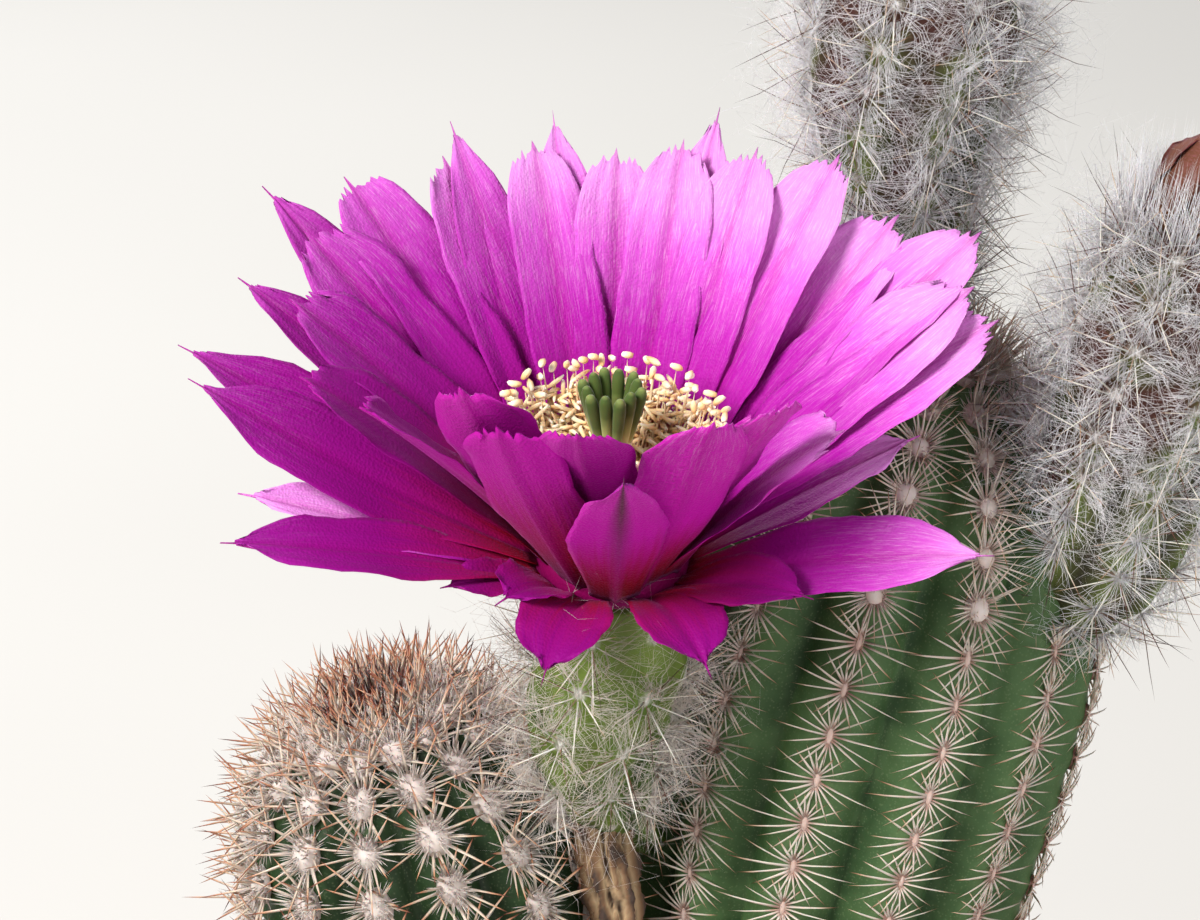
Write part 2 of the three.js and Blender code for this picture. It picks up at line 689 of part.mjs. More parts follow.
// The soil fills the pot, with a plain hole for each stem. A seeded draw raises its surface into grit.
function makeSoil() {
  const { level, grit, rings, sides } = SOIL;
  const draw = seededDraw(47);
  const surface = new Surface();
  const addLoop = (radius, shift, heightOf) => {
    const points = [];
    for (let k = 0; k < sides; k++) {
      const turn = (TURN * (k + shift)) / sides;
      const point = new THREE.Vector3(radius * Math.cos(turn), radius * Math.sin(turn), heightOf());
      points.push(surface.add(point));
    }
    return points;
  };
  const bottom = POT.floor + SEAT_GAP;
  const loops = [bottom, level - 1.5].map((z) => addLoop(potWall(z).inner - 2 * SEAT_GAP, 0, () => z));
  const gritRadius = potWall(level).inner - 3;
  const gritHeight = () => level + grit * (draw() - 0.35);
  for (let r = rings - 1; r > 0; r--) {
    loops.push(addLoop((gritRadius * r) / rings, 0.5 * (r % 2), gritHeight));
  }
  const middle = (height) => surface.add(new THREE.Vector3(0, 0, height));
  surface.stack(loops, middle(bottom), middle(level));
  return largestPiece(solidFrom(surface.geometry()).subtract(mainSeat).subtract(offsetSeat));
}

// ---------------------------------------------------------------------------
// Finishes and the assembled plant
// ---------------------------------------------------------------------------
function finish(color, roughness) {
  return new THREE.MeshStandardMaterial({ color, roughness, metalness: 0, flatShading: true });
}

const FINISH = {
  clay: finish(0xb5694a, 0.85),
  grit: finish(0x8d7a66, 0.95),
  mainSkin: finish(0x4f7d52, 0.55),
  offsetSkin: finish(0x3f6a3c, 0.55),
  wool: finish(0xc9cdb8, 0.9),
  magenta: finish(0xc026b0, 0.4),
  pollen: finish(0xf0d68c, 0.75),
  stigma: finish(0x4a7f34, 0.6),
  budTip: finish(0x9a4a5c, 0.6),
  straw: finish(0xb59a78, 0.9),
};

function named(name, geometry, material) {
  const mesh = new THREE.Mesh(geometry, material);
  mesh.name = name;
  return mesh;
}

const plant = new THREE.Group();
plant.add(
  named('pot', makePot(), FINISH.clay),
  named('soil', makeSoil(), FINISH.grit),
  named('main_stem', spinyBody(mainPlan), FINISH.mainSkin),
  named('offset_stem', spinyBody(offsetPlan), FINISH.offsetSkin),
  named('flower_tube', makeTube(FLOWER_TUBE, [[DRIED, 1.5]], FLOWER.foot[2] - 5), FINISH.wool),
  named('crown_bud', makeTube(CROWN_BUD, [[SIDE, 3]]), FINISH.wool),
  named('crown_bud_tepals', makeBudTepals(CROWN_BUD), FINISH.budTip),
  named('side_bud', makeTube(SIDE_BUD, [[CROWN, 3]]), FINISH.wool),
  named('side_bud_tepals', makeBudTepals(SIDE_BUD), FINISH.budTip),
  named('dried_flower', makeDriedFlower(), FINISH.straw),
);

const flower = new THREE.Group();
flower.position.set(...FLOWER.foot);
flower.rotation.x = FLOWER.nod * DEG;
flower.add(
  named('flower_petals', makePetals(), FINISH.magenta),
  named('flower_stamens', makeStamens(), FINISH.pollen),
  named('flower_pistil', makePistil(), FINISH.stigma),
);
plant.add(flower);

export default plant;
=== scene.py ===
# %% [markdown]
# # A hedgehog cactus in flower
#
# A ribbed cactus stands in a clay pot with a younger offset at its side. It carries one open
# magenta flower, two woolly buds and the dry remains of an older flower. The plant's sizes come
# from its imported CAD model, which is loaded here as a fixed frame. Blender then grows what the
# frame leaves out: the skin, some thousands of spines and hairs, the petals and their finishes.
# Everything below is worked out in millimetres and turned to metres when a mesh is made.

import json
import math
from functools import partial

import bpy
import numpy as np
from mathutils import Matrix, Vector

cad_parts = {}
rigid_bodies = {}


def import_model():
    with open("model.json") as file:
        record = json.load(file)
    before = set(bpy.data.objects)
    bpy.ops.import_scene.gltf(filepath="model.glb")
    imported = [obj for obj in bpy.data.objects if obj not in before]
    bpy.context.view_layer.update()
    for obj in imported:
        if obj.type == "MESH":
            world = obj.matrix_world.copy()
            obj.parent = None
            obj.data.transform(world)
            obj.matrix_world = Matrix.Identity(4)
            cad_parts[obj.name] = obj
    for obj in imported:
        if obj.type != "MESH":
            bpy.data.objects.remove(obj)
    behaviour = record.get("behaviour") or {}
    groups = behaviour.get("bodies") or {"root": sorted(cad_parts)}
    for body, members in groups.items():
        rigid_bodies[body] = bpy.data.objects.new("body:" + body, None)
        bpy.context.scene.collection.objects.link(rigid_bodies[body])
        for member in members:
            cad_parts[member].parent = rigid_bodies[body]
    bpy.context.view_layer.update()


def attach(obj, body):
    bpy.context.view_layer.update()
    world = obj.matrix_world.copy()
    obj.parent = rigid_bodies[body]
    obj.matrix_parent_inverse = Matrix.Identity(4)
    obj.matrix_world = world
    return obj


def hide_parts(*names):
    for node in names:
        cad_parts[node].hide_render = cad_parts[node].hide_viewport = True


for leftover in list(bpy.data.objects):
    bpy.data.objects.remove(leftover)
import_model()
MM = 0.001
TURN = 2 * math.pi

# %% [markdown]
# ## Camera
#
# A macro lens looks down on the flower from the front. A long lens keeps the perspective flat, as
# it is in close-up work, so the stems don't seem to lean away from each other. The camera is
# placed by the point it looks at, the angle it looks down and the distance, which are easy to
# measure and to change, instead of by a location and three rotations.

# %% Place the camera
LOOK_AT = Vector((-1.0, -18.0, 178.0)) * MM
LOOK_DOWN = math.radians(23)
DISTANCE = 500 * MM

lens = bpy.data.cameras.new("macro_lens")
lens.sensor_width = 36
lens.lens = 150
lens.clip_start = 0.01
camera = bpy.data.objects.new("camera", lens)
looking = Vector((0, math.cos(LOOK_DOWN), -math.sin(LOOK_DOWN)))
camera.location = LOOK_AT - looking * DISTANCE
camera.rotation_euler = looking.to_track_quat("-Z", "Y").to_euler()
bpy.context.scene.collection.objects.link(camera)
bpy.context.scene.camera = camera
print("Camera at", [round(value, 3) for value in camera.location])

# %% [markdown]
# ## Nodes and colours
#
# Every finish below is a tree of shader nodes. A few small helpers keep the trees readable. One
# turns a colour as it is written on the web, which is stored for a screen, into the linear light
# that a renderer adds up. One adds a node of any kind, with its settings, its values and the
# links that lead into it. The others start a new finish and turn a width in millimetres into the
# scale of a pattern.

# %% Helpers for finishes
def linear(hex_code):
    """An sRGB hex colour as linear red, green, blue and alpha."""
    screen = [int(hex_code[i:i + 2], 16) / 255 for i in (0, 2, 4)]
    light = [c / 12.92 if c <= 0.04045 else ((c + 0.055) / 1.055) ** 2.4 for c in screen]
    return [*light, 1.0]


def add_node(tree, kind, inputs=None, stops=None, output=0, **settings):
    """Adds a shader node and returns its first output, or the one that output names. An input is
    a value, a hex colour, or another node's output to link from. Stops are those of a ramp."""
    node = tree.nodes.new("ShaderNode" + kind)
    for name, value in settings.items():
        setattr(node, name, value)
    for socket, value in (inputs or {}).items():
        if isinstance(value, bpy.types.NodeSocket):
            tree.links.new(value, node.inputs[socket])
        else:
            node.inputs[socket].default_value = linear(value) if isinstance(value, str) else value
    for i, (position, colour) in enumerate(stops or ()):
        ramp = node.color_ramp.elements
        stop = ramp[i] if i < len(ramp) else ramp.new(position)
        stop.position = position
        stop.color = linear(colour)
    return node.outputs[output] if len(node.outputs) else None


def start_finish(name, *numbers):
    """A new material, add_node for its tree, the place on the object and the named numbers."""
    material = bpy.data.materials.new(name)
    material.use_nodes = True
    material.node_tree.nodes.clear()
    add = partial(add_node, material.node_tree)
    place = add("TexCoord", output="Object")
    return material, add, place, *[add("Attribute", output="Fac", attribute_name=n) for n in numbers]


def cells_of(width):
    """The scale of a pattern whose cells are this many millimetres wide."""
    return 1 / (width * MM)


# %% [markdown]
# ## Floor and light
#
# The plant stands on a pale matt board, as in a small product studio. A soft lamp at the upper
# left gives the petals their silky highlights and leaves soft shadows in the ribs. A weaker one
# at the right opens those shadows, one behind lights the edges of the hairs, and a plain bright
# sky does the rest. The view transform is the plain one, so that a saturated magenta stays
# magenta.

# %% Build the stage
def lamp(name, place, aim, size, watts, colour):
    """A square soft lamp that faces its aim."""
    light = bpy.data.lights.new(name, "AREA")
    light.size = size
    light.energy = watts
    light.color = linear(colour)[:3]
    holder = bpy.data.objects.new(name, light)
    holder.location = place
    holder.rotation_euler = (Vector(aim) - Vector(place)).to_track_quat("-Z", "Y").to_euler()
    bpy.context.scene.collection.objects.link(holder)


lamp("key_softbox", (-0.58, -0.56, 0.8), LOOK_AT, size=0.34, watts=16.5, colour="fffbf7")
lamp("fill_softbox", (0.7, -0.75, 0.4), LOOK_AT, size=0.7, watts=5.4, colour="fbf9f8")
lamp("back_softbox", (-0.4, 0.8, 0.7), LOOK_AT, size=0.4, watts=7.0, colour="ffffff")

sky = bpy.data.worlds.new("studio_sky")
sky.use_nodes = True
sky.node_tree.nodes["Background"].inputs["Color"].default_value = linear("e4e3e2")
sky.node_tree.nodes["Background"].inputs["Strength"].default_value = 0.44
bpy.context.scene.world = sky
bpy.context.scene.view_settings.view_transform = "Standard"

board_finish, add, place = start_finish("painted_studio_board")
clouds = add("TexNoise", {"Vector": place, "Scale": cells_of(333.3)})
tint = add("ValToRGB", {"Fac": clouds}, stops=[(0.3, "c9c8c5"), (0.7, "cfcecb")])
shader = add("BsdfPrincipled", {"Base Color": tint, "Roughness": 0.8})
add("OutputMaterial", {"Surface": shader})

FLOOR_HALF = 8.0
board = bpy.data.meshes.new("studio_board")
corners = [(-FLOOR_HALF, -FLOOR_HALF, 0), (FLOOR_HALF, -FLOOR_HALF, 0),
           (FLOOR_HALF, FLOOR_HALF, 0), (-FLOOR_HALF, FLOOR_HALF, 0)]
board.from_pydata(corners, [], [(0, 1, 2, 3)])
board.materials.append(board_finish)
floor = bpy.data.objects.new("studio_board", board)
bpy.context.scene.collection.objects.link(floor)
print("Stage: a", 2 * FLOOR_HALF, "m board and", len(bpy.data.lights), "lamps")

# %% [markdown]
# ## Making a piece
#
# All the meshes here come from arrays of points and lists of faces, because a plant grows by
# rules and rules are short in code. One function turns them into an object, hangs it on the
# frame, hides the solid of the frame that it stands for and stores numbers on its points. The
# finishes read those numbers, such as how far up a spine a point lies, so a colour can follow
# the form.

# %% Helper for pieces
def make_piece(name, form, finish, stands_for=None):
    """Makes an object of a form, which is its points, its faces and the numbers on its points."""
    points, faces, numbers = form
    mesh = bpy.data.meshes.new(name)
    mesh.from_pydata((np.asarray(points) * MM).tolist(), [], faces)
    for key, values in numbers.items():
        layer = mesh.attributes.new(key, "FLOAT", "POINT")
        layer.data.foreach_set("value", np.asarray(values, np.float32))
    mesh.materials.append(finish)
    mesh.shade_smooth()
    piece = bpy.data.objects.new(name, mesh)
    bpy.context.scene.collection.objects.link(piece)
    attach(piece, "root")
    if stands_for:
        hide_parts(stands_for)
    triangles = sum(len(face) - 2 for face in faces)
    print(f"{name}: {triangles} triangles")
    return piece


def gathered(parts):
    """Several forms as one."""
    points = []
    faces = []
    numbers = {key: [] for key in parts[0][2]}
    start = 0
    for part_points, part_faces, part_numbers in parts:
        points.append(part_points)
        faces.extend([[start + i for i in face] for face in part_faces])
        for key, values in part_numbers.items():
            numbers[key].append(values)
        start += len(part_points)
    return np.vstack(points), faces, {key: np.concatenate(values) for key, values in numbers.items()}


def grid_faces(rows, columns, first=0, wrap=True):
    """Quads between rings of points that lie one above another."""
    faces = []
    for row in range(rows - 1):
        for column in range(columns if wrap else columns - 1):
            a = first + row * columns + column
            b = first + row * columns + (column + 1) % columns
            faces.append([a, b, b + columns, a + columns])
    return faces


def capped_faces(rings, sides):
    """Quads between rings, and fans to a foot point and a crown point that follow the rings."""
    count = rings * sides
    faces = grid_faces(rings, sides)
    for k in range(sides):
        following = (k + 1) % sides
        faces.append([count, following, k])
        faces.append([count + 1, count - sides + k, count - sides + following])
    return faces


# %% [markdown]
# ## Bodies that grow along a path
#
# Stems, floral tubes and buds are all one kind of form: a round section that changes its radius
# while it follows a bent path. Here such a body is a path in space and a profile of radii. A
# point on its skin is then a turn round it, a radius and a height along it, which is how a
# botanist would describe where a spine sits. The sizes are the CAD model's own.

# %% Grown bodies
def between(t, start, a, end, b):
    """The value at t of a straight run from a at start to b at end."""
    return ((end - t) * a + (t - start) * b) / (end - start)


def smooth_line(points, knot_power, detail=30):
    """A curve through the points. Power 0 spaces its knots evenly, 0.5 by the gaps."""
    points = np.array(points, float)
    points = np.vstack([2 * points[0] - points[1], points, 2 * points[-1] - points[-2]])
    line = []
    for a, b, c, d in zip(points, points[1:], points[2:], points[3:]):
        gaps = [np.linalg.norm(gap) ** knot_power for gap in (b - a, c - b, d - c)]
        knots = np.cumsum([0, *gaps])
        t = np.linspace(knots[1], knots[2], detail, endpoint=False)[:, None]
        ab = between(t, knots[0], a, knots[1], b)
        bc = between(t, knots[1], b, knots[2], c)
        cd = between(t, knots[2], c, knots[3], d)
        abc = between(t, knots[0], ab, knots[2], bc)
        bcd = between(t, knots[1], bc, knots[3], cd)
        line.append(between(t, knots[1], abc, knots[2], bcd))
    return np.vstack([*line, points[-2]])


def arched(a, b, c, t):
    """The point at share t of a quadratic curve from a to c that bends towards b."""
    return (1 - t) ** 2 * a + 2 * t * (1 - t) * b + t**2 * c


def unit(vectors):
    """The vectors at a length of one."""
    return vectors / np.linalg.norm(vectors, axis=-1, keepdims=True)


def lookup(where, places, rows):
    """Reads a table of rows at any place, column by column."""
    return np.stack([np.interp(where, places, column) for column in rows.T], -1)


def distances_along(line):
    """How far along a line each of its points lies."""
    return np.concatenate([[0], np.cumsum(np.linalg.norm(np.diff(line, axis=0), axis=1))])


class GrownBody:
    """A body from its path, in mm, and its profile of radii, each at a share of the path."""

    def __init__(self, path, profile):
        if len(path) == 3:
            self.line = arched(*np.array(path, float), np.linspace(0, 1, 90)[:, None])
        else:
            self.line = smooth_line(path, 0.5)
        self.runs = distances_along(self.line)
        self.length = self.runs[-1]
        self.ups = unit(np.gradient(self.line, self.runs, axis=0))
        self.outline = smooth_line([(radius, share * self.length) for radius, share in profile], 0)
        self.outline_runs = distances_along(self.outline)
        self.slopes = unit(np.gradient(self.outline, self.outline_runs, axis=0))

    def at(self, share):
        """Radius and height at a share of the profile's length, and how both change there."""
        run = np.asarray(share, float) * self.outline_runs[-1]
        radius, height = lookup(run, self.outline_runs, self.outline).T
        return radius, height, unit(lookup(run, self.outline_runs, self.slopes))

    def frame(self, height):
        """The path's centre at a height, and the directions right, back and up there."""
        inside = np.clip(height, 0, self.length)
        up = unit(lookup(inside, self.runs, self.ups))
        centre = lookup(inside, self.runs, self.line) + up * (height - inside)[..., None]
        right = unit(np.array([1.0, 0, 0]) - up * up[..., :1])
        return centre, right, np.cross(up, right), up

    def point(self, turn, radius, height):
        """The point at a turn round the path, a distance from it and a height along it."""
        centre, right, back, _ = self.frame(height)
        out = right * np.cos(turn)[..., None] + back * np.sin(turn)[..., None]
        return centre + out * np.asarray(radius)[..., None]

    def distance(self, points):
        """How far each point lies outside the skin, with ribs taken at full radius."""
        radius, height, _ = self.at(np.linspace(0, 1, 50))
        centre, _, _, up = self.frame(height)
        offset = points[:, None, :] - centre
        along = np.sum(offset * up, -1)
        away = np.sqrt(np.maximum(0, np.sum(offset**2, -1) - along**2))
        return np.min(np.hypot(along, np.maximum(0, away - radius)), axis=1)


MAIN = GrownBody([[18.5, 6, 76], [22.8, 8, 128], [34.8, 9, 179.5]],
                 [[12, 0], [16.5, 0.09], [19, 0.23], [22, 0.4], [24, 0.57], [24.3, 0.7],
                  [21.5, 0.84], [15, 0.935], [8, 0.98], [3, 1]])
OFFSET = GrownBody([[-12.5, -2, 76], [-17.5, -1.5, 116], [-25.2, -4.2, 143.2]],
                   [[8, 0], [12, 0.13], [15, 0.36], [17.4, 0.6], [17.4, 0.73], [14.5, 0.88],
                    [9, 0.97], [3, 1]])
TUBE = GrownBody([[5, 1.5, 126.5], [0.8, -7.2, 134], [-1.5, -14, 146], [0.2, -16.6, 157.2],
                  [0.2, -18.05, 165.44]],
                 [[3, 0], [3.4, 0.22], [5.8, 0.42], [7.3, 0.62], [7.8, 0.8], [7.3, 0.93], [7.2, 1]])
CROWN_BUD = GrownBody([[31.5, 14.5, 172], [32.5, 18, 185], [31, 18.5, 200], [32, 18.5, 212],
                       [33, 18.5, 223]],
                      [[3.8, 0], [4.8, 0.2], [6.8, 0.4], [9.8, 0.6], [10.8, 0.78], [8.2, 0.95],
                       [6.6, 1]])
SIDE_BUD = GrownBody([[47.5, -1, 154], [51.5, -3.8, 162], [54.3, -6, 177], [57, -6.5, 191],
                      [58.5, -6.5, 199]],
                     [[4.4, 0], [7.2, 0.18], [8.8, 0.4], [9.6, 0.65], [8.8, 0.83], [6.6, 0.97],
                      [5.6, 1]])
DRIED = GrownBody([[-1, -7.6, 136.5], [-0.6, -10.2, 131], [0.6, -11, 124], [1.3, -10.8, 117],
                   [1.2, -10, 111]],
                  [[2.2, 0], [3.2, 0.12], [3.1, 0.45], [2.4, 0.7], [1, 1]])
SOIL_LEVEL = 86
print("Main stem", round(MAIN.length), "mm along its path, offset", round(OFFSET.length), "mm")


# %% [markdown]
# ## Ribbed skin
#
# A hedgehog cactus folds its skin into ribs, so that it can swell and shrink like a concertina.
# The folds are rounded on top and meet in a narrow groove, and each spine cushion sits on a low
# swelling. A subdivided cylinder with a displacement modifier would do, but the ribs have to
# meet the cushions exactly, so the radius is worked out point by point instead.

# %% Ribs
def crest_turn(plan, rib, share):
    """The turn of a rib's crest at a share of the profile, as the ribs wind round the body."""
    twist = plan.get("twist", 0) * np.asarray(share)
    return np.radians(plan["first_rib"] + twist) + TURN * np.asarray(rib) / plan["ribs"]


def row_share(plan, row):
    """Rows may crowd towards the crown, as they do where a stem is still growing."""
    return 1 - (1 - np.asarray(row) / plan["rows"]) ** plan.get("crowding", 1)


def row_at(plan, share):
    """The row of spine cushions at a share of the profile, as a whole number and a part."""
    return plan["rows"] * (1 - (1 - share) ** (1 / plan.get("crowding", 1)))


def ribbed_skin(body, plan):
    """Points, faces and numbers of a closed skin, from its foot to its crown."""
    per_rib = plan["per_rib"]
    around = plan["ribs"] * per_rib
    shares = np.linspace(0, 1, plan["rings"])[:, None]
    phase = (np.arange(around) / per_rib)[None, :]
    across = 2 * np.abs(phase - np.round(phase))
    radius, height, _ = body.at(shares[:, 0])
    wave = np.cos(TURN * row_at(plan, shares))
    swelling = np.exp(-(across / 0.42) ** 2) * -wave
    fold = plan["fold"] * across**2.2
    reach = radius[:, None] * (1 - fold) + plan["swelling"] * swelling
    turn = crest_turn(plan, phase, shares)
    points = body.point(turn, reach, np.broadcast_to(height[:, None], turn.shape)).reshape(-1, 3)
    foot = body.frame(height[:1])[0]
    crown = body.point(np.zeros(1), np.zeros(1), height[-1:] + plan.get("crown_rise", 0))
    cushion = np.exp(-(across / 0.5) ** 2) * (0.5 - 0.5 * wave)
    numbers = {"groove": np.append(np.broadcast_to(across, turn.shape).ravel(), [1, 1]),
               "cushion": np.append(cushion.ravel(), [0, 1]),
               "rise": np.append(np.broadcast_to(shares, turn.shape).ravel(), [0, 1])}
    return np.vstack([points, foot, crown]), capped_faces(plan["rings"], around), numbers


MAIN_PLAN = {"ribs": 13, "rows": 22, "first_rib": -58, "twist": 19, "fold": 0.12, "swelling": 0.25,
             "rings": 120, "per_rib": 10, "crown_rise": 0.5}
OFFSET_PLAN = {"ribs": 13, "rows": 12, "crowding": 1.35, "first_rib": -98, "fold": 0.14, "swelling": 0.5,
               "rings": 70, "per_rib": 10, "crown_rise": 0.5}
TUBE_PLAN = {"ribs": 7, "rows": 7, "first_rib": 0, "fold": 0.05, "swelling": 0.25, "rings": 50,
             "twist": 52, "per_rib": 8}

# %% [markdown]
# ### Plant skin
#
# The skin is a live epidermis under a thin coat of wax. Wax makes it satin rather than glossy.
# The crests are coloured a lighter, greyer green, partly the wax, which is thickest there, and
# partly painted light. The grooves are coloured a much deeper green, which is painted shade.
# Fine mottling of about 2 mm and pale breathing pores well under half a millimetre keep it from
# looking like painted plastic. On the tube and the buds a felt of matted hair, streaked along
# the body, lies over the skin round each spine cushion.

# %% Skin finish
def plant_skin(name, crest, flank, groove, blotch, blotch_amount, felt_amount=0.0):
    """Colours for crest, flank and groove, blotches of another, and felt over the cushions. The
    crest colour is partly painted light, and the groove colour is painted shade.
    """
    material, add, place, groove_number, rise, cushion = start_finish(name, "groove", "rise", "cushion")
    mottle = add("TexNoise", {"Vector": place, "Scale": cells_of(2.381), "Detail": 4.0})
    shift = add("Math", {0: mottle, 1: 0.5, 2: -0.25}, operation="MULTIPLY_ADD")
    place_in_fold = add("Math", {0: groove_number, 1: shift}, operation="ADD")
    # The ramp from crest to groove paints light on the crests and shade in the grooves.
    green_with_painted_light_and_shade = add("ValToRGB", {"Fac": place_in_fold}, stops=[(0.1, crest), (0.5, flank), (0.97, groove)])
    patches = add("TexNoise", {"Vector": place, "Scale": cells_of(7.692), "Detail": 2.0})
    more_up = add("Math", {0: rise, 1: 0.45, 2: patches}, operation="MULTIPLY_ADD")
    patch_mask = add("MapRange", {"Value": more_up, "From Min": 0.68, "From Max": 0.84,
                     "To Max": blotch_amount})
    patched = add("MixRGB", {"Fac": patch_mask, "Color1": green_with_painted_light_and_shade, "Color2": blotch})
    pores = add("TexVoronoi", {"Vector": place, "Scale": cells_of(0.3846)})
    pore_mask = add("MapRange", {"Value": pores, "From Min": 0.12, "From Max": 0.35, "To Min": 0.07,
                    "To Max": 0.0})
    skin = add("MixRGB", {"Fac": pore_mask, "Color1": patched, "Color2": "c4d0a4"})
    combed = add("Mapping", {"Vector": place, "Scale": (1.0, 1.0, 0.22)})
    streaks = add("TexNoise", {"Vector": combed, "Scale": cells_of(0.3846), "Detail": 3.0,
                  "Distortion": 0.8})
    felt_colour = add("ValToRGB", {"Fac": streaks}, stops=[(0.3, "7f7a76"), (0.5, "bdb9b6"),
                      (0.7, "f0eeec")])
    felt_place = add("Math", {0: more_up, 1: 0.2, 2: cushion}, operation="MULTIPLY_ADD")
    felt_mask = add("MapRange", {"Value": felt_place, "From Min": 0.85, "From Max": 1.1,
                    "To Max": felt_amount})
    covered = add("MixRGB", {"Fac": felt_mask, "Color1": skin, "Color2": felt_colour})
    mottle_relief = add("Bump", {"Height": mottle, "Strength": 0.35, "Distance": 0.0004})
    relief = add("Bump", {"Height": streaks, "Strength": felt_mask, "Distance": 0.0006,
                 "Normal": mottle_relief})
    satin = add("MapRange", {"Value": mottle, "To Min": 0.5, "To Max": 0.68})
    shader = add("BsdfPrincipled", {"Base Color": covered, "Roughness": satin, "Normal": relief,
                 "IOR": 1.33, "Coat Weight": 0.04, "Coat Roughness": 0.5, "Subsurface Weight": 0.08,
                 "Subsurface Scale": 0.002})
    add("OutputMaterial", {"Surface": shader})
    return material


main_skin = plant_skin("waxy_stem_skin", "58744a", "3b5732", "1f3a1a", "4d6a40", blotch_amount=0.5)
offset_skin = plant_skin("young_stem_skin", "304c25", "1c3419", "0c1a0c", "263f1f", blotch_amount=0.4)
# The tube's colours are darker, partly its own green and partly painted shade from the flower above it.
shaded_tube_skin = plant_skin("floral_tube_skin", "56702a", "44601f", "2a3e15", "74863a", blotch_amount=0.5,
                       felt_amount=0.85)
bud_skin = plant_skin("bud_skin", "66763a", "484e28", "2a2818", "42201a", blotch_amount=0.95,
                      felt_amount=0.9)

make_piece("main_stem_skin", ribbed_skin(MAIN, MAIN_PLAN), main_skin, "main_stem")
make_piece("offset_stem_skin", ribbed_skin(OFFSET, OFFSET_PLAN), offset_skin,
           "offset_stem")


# %% [markdown]
# ## Spine cushions
#
# Spines grow from areoles, small felted cushions that run up each rib. An areole is described by
# its seat on the crest and by three directions: out of the skin, up the rib and across it. All
# later hairs and spines fan out from these.

# %% Find the areoles
CLEAR_OF_SOIL = 2


def find_areoles(body, plan, neighbours, clearance=1.0):
    """The areoles of a body that lie clear of the soil and of the neighbours."""
    rows, ribs = np.meshgrid(np.arange(plan["rows"]), np.arange(plan["ribs"]), indexing="ij")
    share = row_share(plan, rows.ravel() + 0.5)
    radius, height, slope = body.at(share)
    centre, right, back, up = body.frame(height)
    turn = crest_turn(plan, ribs.ravel(), share)[:, None]
    out = right * np.cos(turn) + back * np.sin(turn)
    normal = out * slope[:, 1:] - up * slope[:, :1]
    rise = out * slope[:, :1] + up * slope[:, 1:]
    seat = centre + out * (radius + plan["swelling"])[:, None]
    keep = seat[:, 2] > SOIL_LEVEL + CLEAR_OF_SOIL
    for neighbour in neighbours:
        keep &= neighbour.distance(seat) > clearance
    found = {"seat": seat, "normal": normal, "rise": rise, "side": np.cross(rise, normal),
             "share": share[:, None]}
    return {key: values[keep] for key, values in found.items()}


main_areoles = find_areoles(MAIN, MAIN_PLAN, [OFFSET, TUBE, CROWN_BUD, SIDE_BUD])
offset_areoles = find_areoles(OFFSET, OFFSET_PLAN, [MAIN, TUBE])
counts = [len(areoles["seat"]) for areoles in (main_areoles, offset_areoles)]
print(counts[0], "areoles on the main stem and", counts[1], "on the offset")


# %% [markdown]
# ## Spines and hairs
#
# A spine is a long thin cone, and so is a hair. Blender's hair particles would draw them, but a
# particle isn't a mesh and wouldn't be part of the model. Here each strand is a line of a few
# points with a small ring round each one, closed at the foot and drawn to a point. The first
# function lays the lines in fans over the areoles, the second gives them their thickness, and
# the third does both.

# %% Lines in fans
def fan_lines(areoles, count, draw, length, stand, cushion=(0.4, 1.0), points=4, droop=0.0,
              lean=0.0, curl=0.0, even=True, shorter_up=0.0, shorter_along=0.0, lift=0.2, locks=0):
    """Lines that fan out of each areole. stand is the range of angles off the skin, in degrees.
    With locks, the lines gather in that many bundles instead of spreading evenly."""
    number = len(areoles["seat"])
    shape = (number, count)
    seat, normal, rise, side = (areoles[key][:, None, :] for key in ("seat", "normal", "rise", "side"))
    jitter = draw.random(shape)
    spacing = np.arange(count) + 0.4 * jitter if even else count * jitter
    angle = (spacing * TURN / count + 0.5 * draw.random((number, 1)))[..., None]
    low, high = stand
    tilt = np.radians(low + (high - low) * draw.random(shape))[..., None]
    if locks:
        # The hairs of a lock share its turn and its tilt, and differ only a little.
        member = np.arange(count) % locks
        lock_turns = TURN * (np.arange(locks) + 0.8 * draw.random((number, locks))) / locks
        lock_tilts = np.radians(low + (high - low) * draw.random((number, locks)))
        angle = (lock_turns[:, member] + 0.2 * draw.standard_normal(shape))[..., None]
        tilt = (lock_tilts[:, member] + 0.09 * draw.standard_normal(shape))[..., None]
    sine, cosine = np.sin(angle), np.cos(angle)
    reach = length * (0.8 + 0.35 * draw.random(shape))[..., None]
    reach = reach * (1 - shorter_up * np.maximum(0, sine)) * (1 - shorter_along * np.abs(sine))
    spread = 1.0 if even else np.sqrt(draw.random(shape))[..., None]
    root = seat + lift * normal + spread * (cushion[0] * side * cosine + cushion[1] * rise * sine)
    out = side * cosine + rise * sine
    heading = unit(out * np.cos(tilt) + normal * np.sin(tilt) + rise * lean)
    t = np.linspace(0, 1, points)[:, None]
    line = root[:, :, None, :] + heading[:, :, None, :] * reach[:, :, None, :] * t
    line = line - normal[:, :, None, :] * droop * reach[:, :, None, :] * t**2
    if curl:
        # A curl is one wave in each of two directions across the hair.
        first = unit(np.cross(heading, normal + 0.3 * side))
        second = np.cross(heading, first)
        for direction in (first, second):
            waves = 0.6 + 1.1 * draw.random(shape)[..., None, None]
            start = TURN * draw.random(shape)[..., None, None]
            if locks:
                lock_waves = 0.6 + 0.7 * draw.random((number, locks))
                lock_starts = TURN * draw.random((number, locks))
                waves = lock_waves[:, member, None, None]
                start = lock_starts[:, member, None, None] + 0.12 * start
            wave = np.sin(TURN * waves * t + start) - np.sin(start)
            line = line + direction[:, :, None, :] * curl * reach[:, :, None, :] * wave * t
    return line.reshape(-1, points, 3)


